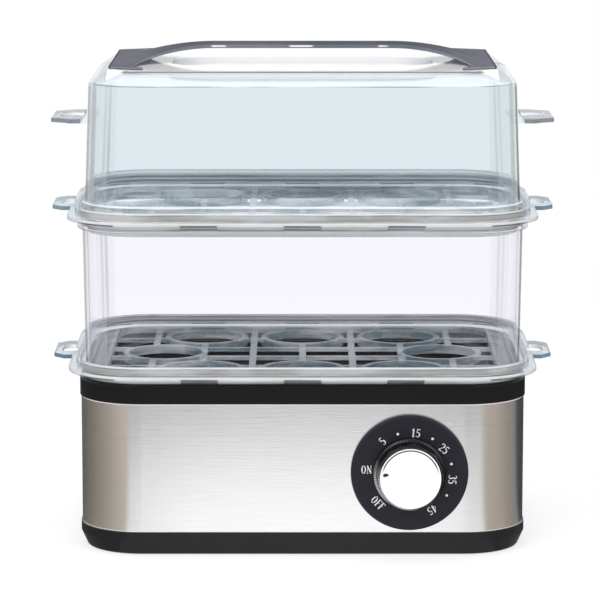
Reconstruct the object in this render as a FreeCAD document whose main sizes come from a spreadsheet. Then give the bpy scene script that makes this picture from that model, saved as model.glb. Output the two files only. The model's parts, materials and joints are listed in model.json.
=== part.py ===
import FreeCAD, Part
import math
import os
import re

import Sketcher
from FreeCAD import Placement, Rotation, Vector

doc = FreeCAD.newDocument("EggBoiler")

# Driving sizes in millimetres, each with what it measures
drivingSizes = [
    ("baseWidth", 190.0, "heating base, left to right"),
    ("baseDepth", 132.0, "heating base, front to back"),
    ("baseCorner", 27.0, "upright corner radius of the base"),
    ("footHeight", 0.3, "rubber foot below the shell"),
    ("footRadius", 7.0, "rubber foot"),
    ("footInset", 28.0, "foot centre in from the base's sides"),
    ("footRecess", 0.9, "socket that a foot is glued into"),
    ("lipHeight", 9.6, "black band of the lower shell"),
    ("lipSlope", 5.7, "height of that band's lower part, which slopes inwards"),
    ("lipTaper", 2.8, "how far the band comes in at its sides"),
    ("lipTaperFront", 1.4, "how far the band comes in at its front and rear"),
    ("shellFloor", 3.2, "floor of the lower shell"),
    ("undersideRound", 0.8, "rounding of the lower shell's lowest edge"),
    ("upstandHeight", 4.1, "collar of the shell inside the steel"),
    ("upstandWall", 1.8, "wall of that collar"),
    ("ventLength", 18.0, "slot in the shell's floor"),
    ("ventWidth", 3.0, "slot in the shell's floor"),
    ("ventPitch", 8.0, "from one floor slot to the next"),
    ("postInset", 17.0, "screw post centre in from the base's sides"),
    ("postRadius", 4.5, "post that hangs from the top ring"),
    ("bossWall", 1.0, "how much wider a boss is than its post"),
    ("bossHeight", 8.0, "boss on the shell's floor below a post"),
    ("screwRadius", 1.5, "self-tapping screw of the casing"),
    ("screwHead", 2.8, "head radius of that screw"),
    ("screwSink", 3.2, "how deep that head sits in the underside"),
    ("screwBite", 12.0, "how far that screw bites into its post"),
    ("screwTip", 1.0, "room ahead of that screw's tip"),
    ("baseScrewHead", 1.8, "height of that screw's head"),
    ("screwPlay", 0.3, "room round a screw in a clearance hole"),
    ("cutClear", 5.0, "how far a cutting shape starts off the surface"),
    ("steelHeight", 55.2, "visible height of the steel band"),
    ("steelInset", 0.5, "steel face behind the plastic faces"),
    ("steelThickness", 0.6, "sheet of the steel band"),
    ("bandGap", 0.1, "play between the steel and the collars inside it"),
    ("ringHeight", 8.3, "black ring on top of the steel"),
    ("ringRound", 1.3, "rounded top edge of that ring"),
    ("tongueDepth", 3.0, "tongue of the ring inside the steel"),
    ("deckDrop", 3.9, "ring's deck below the ring's top"),
    ("deckThickness", 2.5, "deck that carries the pan"),
    ("panWidth", 154.0, "bowl of the water pan, outside"),
    ("panDepth", 102.0, "bowl of the water pan, outside, front to back"),
    ("panCorner", 21.0, "upright corner radius of the pan's bowl"),
    ("panSink", 12.0, "bowl's floor below its flange"),
    ("panWall", 1.2, "sheet of the pan"),
    ("panFlange", 5.0, "width of the pan's flange"),
    ("panPlay", 1.0, "room round the bowl in the ring's opening"),
    ("panRound", 4.0, "rounding between the bowl's floor and wall"),
    ("sealThickness", 0.8, "silicone seal under the pan's flange"),
    ("spreaderWidth", 124.0, "aluminium plate under the pan"),
    ("spreaderDepth", 74.0, "aluminium plate under the pan, front to back"),
    ("spreaderThickness", 3.0, "aluminium plate under the pan"),
    ("spreaderCorner", 6.0, "corner radius of that plate"),
    ("elementRadius", 3.3, "sheathed heating tube"),
    ("elementFlat", 0.5, "how far the tube is pressed flat above and below"),
    ("elementBend", 25.0, "bend radius of the tube's centre line"),
    ("elementReach", 46.0, "from the middle to the tube's ends"),
    ("terminalLength", 9.0, "cold pin at a tube's end"),
    ("terminalRadius", 1.3, "cold pin at a tube's end"),
    ("clampWidth", 9.0, "bar across the tube"),
    ("clampThickness", 1.5, "bar across the tube"),
    ("clampOffset", 14.0, "clamp bar from the middle"),
    ("studRadius", 2.0, "long screw through shield, spacer and bar"),
    ("studHead", 3.6, "head radius of the long screw"),
    ("studHeadHeight", 2.0, "height of that head"),
    ("studBite", 2.1, "how far the long screw bites into the spreader plate"),
    ("spacerLength", 6.0, "sleeve between bar and shield"),
    ("spacerWall", 1.4, "wall of that sleeve"),
    ("shieldWidth", 112.0, "heat shield, left to right"),
    ("shieldDepth", 68.0, "heat shield, front to back"),
    ("shieldSheet", 0.6, "sheet of the heat shield"),
    ("shieldSkirt", 5.0, "edge of the heat shield turned down"),
    ("shieldCorner", 5.0, "corner radius of the heat shield"),
    ("thermostatRadius", 8.2, "boil-dry thermostat"),
    ("thermostatHeight", 7.4, "boil-dry thermostat"),
    ("thermostatFlange", 0.8, "flange round the thermostat's top"),
    ("thermostatFlangeHeight", 1.5, "flange round the thermostat's top"),
    ("thermostatTabRaise", 1.0, "tabs above the thermostat's underside"),
    ("fuseRadius", 2.0, "thermal fuse"),
    ("fuseLength", 12.0, "thermal fuse"),
    ("fuseEnd", 1.0, "length of the fuse that shows at each end of its block"),
    ("fuseBlock", 8.0, "ceramic block round the fuse"),
    ("dialAcross", 45.0, "dial centre right of the middle"),
    ("dialRaise", 36.0, "dial centre above the table"),
    ("dialRadius", 24.75, "round dial plate"),
    ("dialThickness", 2.2, "dial plate, off the steel"),
    ("dialFace", 1.0, "sheet of the dial plate's face"),
    ("dialRim", 1.6, "rim that the dial plate stands on"),
    ("dialBevel", 0.8, "bevel round the dial plate"),
    ("knobGap", 0.5, "air between dial and knob"),
    ("knobLength", 10.6, "knob, along its axis"),
    ("knobSkirt", 15.5, "radius of the knob's skirt"),
    ("skirtThickness", 2.4, "knob's skirt, along its axis"),
    ("skirtBevel", 0.8, "bevel of the knob's skirt"),
    ("knobGrip", 14.2, "radius of the knob's grip"),
    ("gripGroove", 0.45, "radius of a groove in the grip"),
    ("grooveEnd", 1.2, "plain length ahead of the grooves"),
    ("knobRound", 0.5, "rounding of the knob's and the cap's edges"),
    ("capRadius", 13.2, "metal cap on the knob"),
    ("capThickness", 1.6, "metal cap on the knob"),
    ("capSink", 1.0, "how deep the cap sits in the knob"),
    ("shaftRadius", 3.0, "timer shaft"),
    ("shaftPlay", 0.05, "running clearance of the timer shaft"),
    ("shaftGrip", 7.0, "how deep the shaft goes into the knob"),
    ("shaftRoom", 2.0, "room round the shaft in the steel"),
    ("shaftFoot", 1.0, "shaft's end inside the back plate"),
    ("timerSize", 40.0, "square timer case"),
    ("timerDepth", 22.0, "timer case, front to back"),
    ("timerWall", 1.6, "wall of the timer case"),
    ("timerFront", 3.2, "front wall of the timer case"),
    ("camRadius", 12.0, "switch cam on the shaft"),
    ("camThickness", 4.0, "switch cam on the shaft"),
    ("camNotch", 3.0, "width of the notch in the cam"),
    ("camNotchDepth", 2.0, "depth of that notch"),
    ("bellRadius", 15.0, "gong at the back of the timer"),
    ("bellDepth", 6.0, "gong at the back of the timer"),
    ("bellSheet", 0.9, "sheet of the gong"),
    ("bellPlay", 1.0, "gap between the gong and the timer's back"),
    ("bellRound", 2.5, "rounding of the gong"),
    ("bellPost", 2.5, "post that carries the gong"),
    ("timerHolePitch", 30.0, "between the two timer screws"),
    ("timerScrewHead", 1.0, "height of a timer screw's head"),
    ("inletRaise", 36.0, "mains inlet above the table"),
    ("inletWidth", 50.0, "flange of the mains inlet"),
    ("inletTall", 24.0, "height of the mains inlet"),
    ("inletFlange", 2.4, "flange of the mains inlet"),
    ("inletCorner", 3.0, "corner radius of that flange"),
    ("inletBodyWidth", 28.0, "body of the mains inlet"),
    ("inletBodyDepth", 21.0, "body of the mains inlet behind the steel"),
    ("inletWall", 1.7, "wall round the inlet's socket"),
    ("inletHolePitch", 40.0, "between the two inlet screws"),
    ("inletHole", 1.7, "screw hole of the inlet"),
    ("inletScrewLength", 9.0, "thread of an inlet screw"),
    ("inletScrewHead", 1.4, "height of that screw's head"),
    ("nutRadius", 3.2, "nut of that screw, across its corners"),
    ("nutHeight", 2.4, "nut of that screw"),
    ("socketDepth", 16.0, "socket of the mains inlet"),
    ("chamberHeight", 60.8, "middle chamber"),
    ("chamberFootWidth", 184.8, "middle chamber's wall at its foot"),
    ("chamberFootDepth", 128.4, "middle chamber's wall at its foot, front to back"),
    ("chamberFlare", 0.7, "how much further out that wall is at its top"),
    ("coverCorner", 24.0, "upright corner radius of the clear walls"),
    ("coverWall", 1.8, "clear wall"),
    ("topFlange", 2.2, "flange round the chamber's top"),
    ("topFlangeThickness", 1.2, "flange round the chamber's top"),
    ("beadWidth", 1.7, "bead round a clear part's foot"),
    ("beadHeight", 2.2, "bead round a clear part's foot"),
    ("lidHeight", 61.5, "lid without its handle"),
    ("lidFootWidth", 184.4, "lid's wall at its foot"),
    ("lidFootDepth", 128.4, "lid's wall at its foot, front to back"),
    ("lidDraft", 2.0, "how much further in that wall is at the shoulder"),
    ("lidBevel", 8.3, "how far the sloping shoulder comes in"),
    ("shoulderHeight", 5.9, "sloping shoulder of the lid"),
    ("shoulderFill", 0.9, "extra plastic at the top of that shoulder"),
    ("lidCollar", 1.0, "thicker collar at the lid's foot"),
    ("collarHeight", 5.8, "thicker collar at the lid's foot"),
    ("wellWidth", 112.0, "finger well in the lid"),
    ("wellDepth", 56.0, "finger well in the lid, front to back"),
    ("wellSink", 5.0, "finger well in the lid, downwards"),
    ("wellCorner", 20.0, "corner radius of the finger well"),
    ("lidEarRaise", 38.0, "top of a lid ear above the lid's foot"),
    ("lidEarRoot", 20.5, "half width of a lid ear at its root"),
    ("lidEarTip", 14.5, "half width of a lid ear at its tip"),
    ("earLength", 8.3, "how far the ears reach past the tray's flange"),
    ("lidEarBevel", 9.0, "length of a lid ear's bevelled end"),
    ("lidEarThickness", 2.0, "lid ear"),
    ("lidEarHole", 10.0, "width of the hole in a lid ear"),
    ("lidEarHoleLength", 19.5, "length of the hole in a lid ear"),
    ("earEdge", 3.0, "plastic between an ear's hole and its tip"),
    ("trayWidth", 199.4, "tray's flange"),
    ("trayDepth", 142.0, "tray's flange, front to back"),
    ("trayCorner", 31.0, "corner radius of the tray's flange"),
    ("trayPlate", 1.75, "plate of the tray"),
    ("rimInset", 3.3, "tray's rim in from the flange's side edges"),
    ("rimInsetFront", 3.2, "tray's rim in from the flange's front edge"),
    ("rimWall", 1.5, "tray's rim"),
    ("rimHeight", 3.5, "tray's rim above its plate"),
    ("skirtDepth", 2.35, "skirt below the tray's plate"),
    ("skirtWall", 1.5, "skirt below the tray's plate"),
    ("skirtInset", 1.5, "skirt in from the base's faces"),
    ("notchWidth", 15.5, "steam notch in the skirt"),
    ("notchHeight", 1.5, "steam notch in the skirt"),
    ("lipPlay", 0.6, "play between a tray's lip and what it sits in"),
    ("lipWall", 1.4, "tray's locating lip"),
    ("lipReach", 2.9, "lip below the skirt"),
    ("trayEarRoot", 17.2, "half width of a tray ear at its root"),
    ("trayEarTip", 12.0, "half width of a tray ear at its tip"),
    ("trayEarBevel", 4.5, "length of a tray ear's bevelled end"),
    ("trayEarHole", 7.0, "width of the hole in a tray ear"),
    ("trayEarHoleLength", 16.0, "length of the hole in a tray ear"),
    ("floorInset", 6.5, "egg floor's edge in from the lip"),
    ("floorInsetFront", 4.5, "egg floor's front edge in from the lip"),
    ("floorSink", 1.9, "egg floor below the tray's plate"),
    ("floorThickness", 1.6, "egg floor"),
    ("floorCorner", 13.0, "corner radius of the egg floor"),
    ("seatRadius", 16.0, "opening that an egg sits in"),
    ("seatWall", 2.6, "ring round that opening"),
    ("seatDrop", 2.0, "how far that ring reaches below the floor"),
    ("seatPitch", 43.2, "from one egg of a row to the next"),
    ("middleSeat", 60.0, "outer egg of the middle row from the centre"),
    ("rowPitch", 39.0, "front and back rows from the middle row"),
    ("barWidth", 3.0, "bars of the egg floor"),
    ("innerBar", 10.5, "inner lengthwise bars from the middle"),
    ("outerBar", 33.0, "outer lengthwise bars from the middle"),
    ("handleReach", 81.5, "end of the handle's foot from the middle"),
    ("handleDepth", 98.0, "handle's foot, front to back"),
    ("handleFoot", 1.0, "thickness of the handle's foot"),
    ("handleSpring", 72.2, "where the arch leaves the lid, from the middle"),
    ("handleFlat", 38.0, "half of the straight part of the bar"),
    ("handleRise", 5.9, "gap under the bar, above the lid"),
    ("handleThickness", 1.6, "bar of the handle"),
    ("barHalfDepth", 9.5, "half of the bar, front to back"),
    ("waistHalfDepth", 38.0, "half of the arch where it leaves the lid"),
    ("footNotch", 5.4, "how far the foot's corners reach inwards"),
    ("footCut", 7.0, "slanting ends of the foot, front to back"),
    ("rivetRadius", 1.25, "rivet of the handle"),
    ("rivetHead", 2.5, "head radius of that rivet"),
    ("rivetHeadHeight", 0.8, "height of that head"),
    ("rivetPlay", 0.05, "room round a rivet in the lid"),
    ("rivetSkin", 0.3, "handle above a rivet's end"),
    ("rivetInset", 5.5, "rivet in from the handle's end"),
    ("rivetSpread", 32.0, "rivet from the middle, front to back"),
    ("leadRadius", 1.1, "insulated lead inside the base"),
    ("tabLength", 5.0, "terminal tab that a lead ends on"),
    ("tabOffset", 17.5, "timer's terminal tabs from its shaft, sideways"),
    ("tabDrop", 5.0, "timer's tabs below the top of its case"),
    ("tabThickness", 0.8, "terminal tab"),
    ("tabWidth", 4.8, "terminal tab"),
    ("bladePitch", 7.0, "from one blade of the inlet to the next"),
    ("bladeThickness", 2.0, "blade of the inlet"),
    ("bladeTall", 4.0, "blade of the inlet"),
    ("bladeRecess", 3.0, "blade's tip behind the inlet's face"),
]

sheet = doc.addObject("Spreadsheet::Sheet", "Sizes")
for row, (alias, value, meaning) in enumerate(drivingSizes, start=1):
    sheet.set(f"A{row}", meaning)
    sheet.set(f"B{row}", str(value))
    sheet.setAlias(f"B{row}", alias)
doc.recompute()
aliases = {alias for alias, value, meaning in drivingSizes}


def expr(text):
    """Puts the sheet's name before every size in a formula."""
    return re.sub(r"[A-Za-z]\w*", lambda m: "Sizes." + m.group() if m.group() in aliases else m.group(),
                  str(text))


def num(text):
    """Works out a formula of sizes as a plain number."""
    result = sheet.evalExpression(expr(text))
    return float(getattr(result, "Value", result))


# Counts and shares that are no lengths
gripGrooves = 48
bendShare = 0.45

# Levels above the table, and half sizes, as formulas of the driving sizes
lipTop = "(footHeight + lipHeight)"
floorTop = "(footHeight + shellFloor)"
ringBottom = f"({lipTop} + steelHeight)"
ringTop = f"({ringBottom} + ringHeight)"
deckTop = f"({ringTop} - deckDrop)"
deckBottom = f"({deckTop} - deckThickness)"
collarInset = "(steelInset + steelThickness + bandGap)"
shellInset = f"({collarInset} + upstandWall)"
postX = "(baseWidth / 2 - postInset)"
postY = "(baseDepth / 2 - postInset)"
bossTop = f"({floorTop} + bossHeight)"
panTop = f"({deckTop} + sealThickness + panWall)"
panFloor = f"({panTop} - panSink)"
spreaderTop = f"({panFloor} - panWall)"
spreaderBottom = f"({spreaderTop} - spreaderThickness)"
elementHeight = "(2 * elementRadius - 2 * elementFlat)"
clampTop = f"({spreaderBottom} - {elementHeight})"
clampBottom = f"({clampTop} - clampThickness)"
shieldTop = f"({clampBottom} - spacerLength)"
steelFront = "(baseDepth / 2 - steelInset)"
dialFront = f"({steelFront} + dialThickness)"
knobBack = f"({dialFront} + knobGap)"
knobFront = f"({knobBack} + knobLength)"
caseFront = f"({steelFront} - steelThickness)"
caseBack = f"({caseFront} - timerDepth)"
fuseX = "(clampOffset + clampWidth / 2 + fuseBlock)"
bladeEnd = f"({steelFront} - inletBodyDepth - tabLength)"
tabReach = "(thermostatRadius + tabLength)"
lowerPlate = f"({ringTop} + skirtDepth + trayPlate)"
chamberTop = f"({lowerPlate} + chamberHeight)"
upperPlate = f"({chamberTop} + skirtDepth + trayPlate)"
lidTop = f"({upperPlate} + lidHeight)"
lidShoulder = f"({lidTop} - shoulderHeight)"
seatInX = "(chamberFootWidth / 2 + chamberFlare - coverWall)"
seatInY = "(chamberFootDepth / 2 + chamberFlare - coverWall)"
lipHalfX = f"({seatInX} - lipPlay)"
lipHalfY = f"({seatInY} - lipPlay)"
lipCorner = "(coverCorner - coverWall)"
earReach = "(trayWidth / 2 + earLength)"
centreShift = f"(({knobFront} - capSink + capThickness - trayDepth / 2) / 2)"


class Piece:
    """One sub-part: a body with its own origin, whose features are added one after another."""

    volume = 0.0

    def __init__(self, label, x="0", y="0", z="0"):
        self.body = doc.addObject("PartDesign::Body", label)
        self.body.Label = label
        self.body.setExpression("Placement.Base.x", expr(x))
        self.body.setExpression("Placement.Base.y", expr(f"{centreShift} + {y}"))
        self.body.setExpression("Placement.Base.z", expr(z))
        self.count = 0

    def plane(self, role):
        return next(part for part in self.body.Origin.OriginFeatures if part.Role == role)

    def sketch(self, role="XY_Plane", offset="0"):
        self.count += 1
        made = self.body.newObject("Sketcher::SketchObject", f"{self.body.Name}_sketch{self.count}")
        made.AttachmentSupport = [(self.plane(role), "")]
        made.MapMode = "FlatFace"
        made.setExpression("AttachmentOffset.Base.z", expr(offset))
        return made

    def feature(self, kind):
        self.count += 1
        return self.body.newObject(f"PartDesign::{kind}", f"{self.body.Name}_{kind.lower()}{self.count}")

    def finish(self, made, changes=True):
        before = self.volume
        self.body.Tip = made
        doc.recompute()
        self.volume = self.body.Shape.Volume
        if changes and abs(self.volume - before) < 1e-3:
            raise RuntimeError(f"{made.Name} changes nothing")
        return made

    def pad(self, sketch, length, reverse=False):
        made = self.feature("Pad")
        made.Profile = sketch
        made.setExpression("Length", expr(length))
        made.Reversed = reverse
        return self.finish(made)

    def pocket(self, sketch, length, reverse=False):
        made = self.feature("Pocket")
        made.Profile = sketch
        made.setExpression("Length", expr(length))
        made.Reversed = reverse
        return self.finish(made)

    def loft(self, sketches, cut=False):
        made = self.feature("SubtractiveLoft" if cut else "AdditiveLoft")
        made.Profile = sketches[0]
        made.Sections = sketches[1:]
        made.Ruled = True
        return self.finish(made)

    def mirror(self, originals, role):
        made = self.feature("Mirrored")
        made.Originals = originals
        made.MirrorPlane = (self.plane(role), [""])
        return self.finish(made)

    def edges(self, test):
        names = []
        for index, edge in enumerate(self.body.Tip.Shape.Edges, start=1):
            if test(edge):
                names.append(f"Edge{index}")
        return names

    def dress(self, kind, test):
        """Starts a fillet or chamfer on the edges of the present shape that pass a test."""
        base, names = self.body.Tip, self.edges(test)
        made = self.feature(kind)
        made.Base = (base, names)
        return made

    def fillet(self, test, radius):
        made = self.dress("Fillet", test)
        made.setExpression("Radius", expr(radius))
        return self.finish(made)

    def chamfer(self, test, size):
        made = self.dress("Chamfer", test)
        made.setExpression("Size", expr(size))
        return self.finish(made)


def level(height, places=0.01):
    """Picks the edges that lie flat at one height."""
    value = num(height)
    return lambda edge: abs(edge.BoundBox.ZMin - value) < places and abs(edge.BoundBox.ZMax - value) < places


def facing(distance, places=0.01):
    """Picks the edges that lie in one plane square to the Y axis."""
    value = num(distance)
    return lambda edge: abs(edge.BoundBox.YMin - value) < places and abs(edge.BoundBox.YMax - value) < places


def pin(sketch, geometry, point, x, y):
    """Ties one point of a sketch to its distances from the origin."""
    for axis, kind, text in ((-2, "DistanceX", x), (-1, "DistanceY", y)):
        value = num(text)
        if abs(value) < 1e-9:
            sketch.addConstraint(Sketcher.Constraint("PointOnObject", geometry, point, axis))
            continue
        ends = (-1, 1, geometry, point) if value > 0 else (geometry, point, -1, 1)
        index = sketch.addConstraint(Sketcher.Constraint(kind, *ends, abs(value)))
        sketch.setExpression(f"Constraints[{index}]", expr(text if value > 0 else f"-({text})"))


def size(sketch, constraint, text):
    index = sketch.addConstraint(constraint)
    sketch.setExpression(f"Constraints[{index}]", expr(text))


def circle(sketch, x, y, radius):
    geometry = sketch.addGeometry(Part.Circle(Vector(num(x), num(y), 0), Vector(0, 0, 1), num(radius)))
    pin(sketch, geometry, 3, x, y)
    size(sketch, Sketcher.Constraint("Radius", geometry, num(radius)), radius)
    return geometry


def polygon(sketch, corners):
    points = [Vector(num(x), num(y), 0) for x, y in corners]
    first = sketch.GeometryCount
    for index, start in enumerate(points):
        sketch.addGeometry(Part.LineSegment(start, points[(index + 1) % len(points)]))
    for index, (x, y) in enumerate(corners):
        previous = first + (index - 1) % len(points)
        sketch.addConstraint(Sketcher.Constraint("Coincident", previous, 2, first + index, 1))
        pin(sketch, first + index, 1, x, y)


def rectangle(sketch, x, y, halfX, halfY):
    polygon(sketch, [(f"{x} - {halfX}", f"{y} - {halfY}"), (f"{x} + {halfX}", f"{y} - {halfY}"),
                     (f"{x} + {halfX}", f"{y} + {halfY}"), (f"{x} - {halfX}", f"{y} + {halfY}")])


def roundedRectangle(sketch, halfX, halfY, radius):
    """Draws a rectangle about the origin whose four corners are arcs."""
    w, d, r = num(halfX), num(halfY), num(radius)
    first = sketch.GeometryCount
    corners = [(w - r, r - d, -90), (w - r, d - r, 0), (r - w, d - r, 90), (r - w, r - d, 180)]
    sides = [((r - w, -d), (w - r, -d)), ((w, r - d), (w, d - r)), ((w - r, d), (r - w, d)),
             ((-w, d - r), (-w, r - d))]
    for (start, end), (cx, cy, angle) in zip(sides, corners):
        sketch.addGeometry(Part.LineSegment(Vector(*start, 0), Vector(*end, 0)))
        around = Part.Circle(Vector(cx, cy, 0), Vector(0, 0, 1), r)
        sketch.addGeometry(Part.ArcOfCircle(around, math.radians(angle), math.radians(angle + 90)))
    for index in range(8):
        after = first + (index + 1) % 8
        sketch.addConstraint(Sketcher.Constraint("Tangent", first + index, 2, after, 1))
    for index, kind in ((0, "Horizontal"), (2, "Vertical"), (4, "Horizontal"), (6, "Vertical")):
        sketch.addConstraint(Sketcher.Constraint(kind, first + index))
    for index in (3, 5, 7):
        sketch.addConstraint(Sketcher.Constraint("Equal", first + 1, first + index))
    sketch.addConstraint(Sketcher.Constraint("Symmetric", first + 1, 3, first + 5, 3, -1, 1))
    size(sketch, Sketcher.Constraint("Radius", first + 1, r), radius)
    size(sketch, Sketcher.Constraint("DistanceX", first + 6, 1, first + 2, 1, 2 * w), f"2 * {halfX}")
    size(sketch, Sketcher.Constraint("DistanceY", first, 1, first + 4, 1, 2 * d), f"2 * {halfY}")


def frameRing(piece, height, halfX, halfY, radius, wall, tall):
    """Adds an upright wall that follows a rounded rectangle."""
    ring = piece.sketch(offset=height)
    roundedRectangle(ring, halfX, halfY, radius)
    roundedRectangle(ring, f"({halfX} - {wall})", f"({halfY} - {wall})", f"({radius} - {wall})")
    return piece.pad(ring, tall)


def corners(x, y):
    return [(f"{sx}{x}", f"{sy}{y}") for sx in ("-", "") for sy in ("-", "")]


def roundStack(label, x, y, z, steps):
    """Builds an upright turned piece from (start height, height, radius) steps, from the bottom up."""
    piece = Piece(label, x, y, z)
    for start, tall, radius in steps:
        profile = piece.sketch(offset=start)
        circle(profile, "0", "0", radius)
        piece.pad(profile, tall)
    return piece


def group(label, sketchPlane, steps, places):
    """Builds one sub-part of alike separate solids, one round stack of steps at each place."""
    solids = []
    for index, (x, y) in enumerate(places, start=1):
        rounds = []
        for number, (start, tall, radius) in enumerate(steps, start=1):
            part = doc.addObject("Part::Cylinder", f"{label}_{index}_{number}")
            part.setExpression("Radius", expr(radius))
            part.setExpression("Height", expr(tall))
            if sketchPlane == "XZ":
                part.Placement = Placement(Vector(), Rotation(Vector(1, 0, 0), 90))
                part.setExpression("Placement.Base.x", expr(x))
                part.setExpression("Placement.Base.y", expr(f"-({start})"))
                part.setExpression("Placement.Base.z", expr(y))
            else:
                part.setExpression("Placement.Base.x", expr(x))
                part.setExpression("Placement.Base.y", expr(y))
                part.setExpression("Placement.Base.z", expr(start))
            rounds.append(part)
        if len(rounds) > 1:
            fused = doc.addObject("Part::MultiFuse", f"{label}_{index}")
            fused.Shapes = rounds
            solids.append(fused)
        else:
            solids.append(rounds[0])
    together = doc.addObject("Part::Compound", label)
    together.Links = solids
    return keep(label, together)


kept = []


def keep(label, made, shift=True):
    made.Label = label
    if shift:
        made.setExpression("Placement.Base.y", expr(centreShift))
    kept.append((label, made))
    return made


def done(label, piece):
    kept.append((label, piece.body))
    return piece


# Lower shell: a tub that slopes inwards below, with a collar inside the steel and four screw bosses
def baseShell():
    piece = Piece("base_shell")
    slope = [piece.sketch(offset="footHeight"), piece.sketch(offset="footHeight + lipSlope")]
    roundedRectangle(slope[0], "(baseWidth / 2 - lipTaper)", "(baseDepth / 2 - lipTaperFront)",
                     "(baseCorner - lipTaper)")
    roundedRectangle(slope[1], "baseWidth / 2", "baseDepth / 2", "baseCorner")
    piece.loft(slope)
    outline = piece.sketch(offset="footHeight + lipSlope")
    roundedRectangle(outline, "baseWidth / 2", "baseDepth / 2", "baseCorner")
    piece.pad(outline, "lipHeight - lipSlope")
    piece.fillet(level("footHeight"), "undersideRound")
    collar = piece.sketch(offset=lipTop)
    roundedRectangle(collar, f"(baseWidth / 2 - {collarInset})", f"(baseDepth / 2 - {collarInset})",
                     f"(baseCorner - {collarInset})")
    piece.pad(collar, "upstandHeight")
    hollow = piece.sketch(offset=f"{lipTop} + upstandHeight")
    roundedRectangle(hollow, f"(baseWidth / 2 - {shellInset})", f"(baseDepth / 2 - {shellInset})",
                     f"(baseCorner - {shellInset})")
    piece.pocket(hollow, "lipHeight + upstandHeight - shellFloor")
    bosses = piece.sketch(offset=f"{floorTop} - shellFloor / 2")
    for x, y in corners(postX, postY):
        circle(bosses, x, y, "postRadius + bossWall")
    piece.pad(bosses, "bossHeight + shellFloor / 2")
    holes = piece.sketch(offset=bossTop)
    for x, y in corners(postX, postY):
        circle(holes, x, y, "screwRadius + screwPlay")
    piece.pocket(holes, "bossHeight + shellFloor")
    sinks = piece.sketch(offset="footHeight")
    for x, y in corners(postX, postY):
        circle(sinks, x, y, "screwHead + screwPlay")
    piece.pocket(sinks, "screwSink", reverse=True)
    sockets = piece.sketch(offset="footHeight")
    for x, y in corners("(baseWidth / 2 - footInset)", "(baseDepth / 2 - footInset)"):
        circle(sockets, x, y, "footRadius")
    piece.pocket(sockets, "footRecess", reverse=True)
    vents = piece.sketch(offset=floorTop)
    for index in range(-2, 3):
        rectangle(vents, "0 - ventLength", f"{index} * ventPitch", "ventLength / 2", "ventWidth / 2")
        rectangle(vents, "ventLength", f"{index} * ventPitch", "ventLength / 2", "ventWidth / 2")
    piece.pocket(vents, "shellFloor")
    return done("base_shell", piece)


# Steel band: one strip of brushed sheet closed round the base, with holes for dial and inlet
def steelBand():
    piece = Piece("steel_band")
    frameRing(piece, lipTop, "(baseWidth / 2 - steelInset)", steelFront, "(baseCorner - steelInset)",
              "steelThickness", "steelHeight")
    front = piece.sketch("XZ_Plane", f"{steelFront} + cutClear")
    circle(front, "dialAcross", "dialRaise", "shaftRadius + shaftRoom")
    for side in ("-", "+"):
        circle(front, f"dialAcross {side} timerHolePitch / 2", "dialRaise", "screwRadius + screwPlay")
    piece.pocket(front, "2 * cutClear")
    rear = piece.sketch("XZ_Plane", f"cutClear - {steelFront}")
    rectangle(rear, "0", "inletRaise", "(inletBodyWidth / 2 + screwPlay)",
              "(inletTall / 2 - inletFlange + screwPlay)")
    for side in ("-", "+"):
        circle(rear, f"0 {side} inletHolePitch / 2", "inletRaise", "inletHole")
    piece.pocket(rear, "2 * cutClear")
    return done("steel_band", piece)


# Top ring: rim, sunk deck, tongue inside the steel and four hanging posts
def topRing():
    piece = Piece("top_ring")
    outline = piece.sketch(offset=ringBottom)
    roundedRectangle(outline, "baseWidth / 2", "baseDepth / 2", "baseCorner")
    piece.pad(outline, "ringHeight")
    piece.fillet(level(ringTop), "ringRound")
    tongue = piece.sketch(offset=ringBottom)
    roundedRectangle(tongue, f"(baseWidth / 2 - {collarInset})", f"(baseDepth / 2 - {collarInset})",
                     f"(baseCorner - {collarInset})")
    piece.pad(tongue, "tongueDepth", reverse=True)
    under = piece.sketch(offset=f"{ringBottom} - tongueDepth")
    roundedRectangle(under, f"(baseWidth / 2 - {shellInset})", f"(baseDepth / 2 - {shellInset})",
                     f"(baseCorner - {shellInset})")
    piece.pocket(under, f"{deckBottom} - {ringBottom} + tongueDepth", reverse=True)
    posts = piece.sketch(offset=bossTop)
    for x, y in corners(postX, postY):
        circle(posts, x, y, "postRadius")
    piece.pad(posts, f"{deckBottom} - {bossTop} + deckThickness / 2")
    rebate = piece.sketch(offset=ringTop)
    roundedRectangle(rebate, seatInX, seatInY, lipCorner)
    piece.pocket(rebate, "deckDrop")
    opening = piece.sketch(offset=ringTop)
    roundedRectangle(opening, "(panWidth / 2 + panPlay)", "(panDepth / 2 + panPlay)",
                     "(panCorner + panPlay)")
    piece.pocket(opening, "ringHeight + tongueDepth")
    pilots = piece.sketch(offset=bossTop)
    for x, y in corners(postX, postY):
        circle(pilots, x, y, "screwRadius")
    piece.pocket(pilots, "screwBite", reverse=True)
    return done("top_ring", piece)


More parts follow.
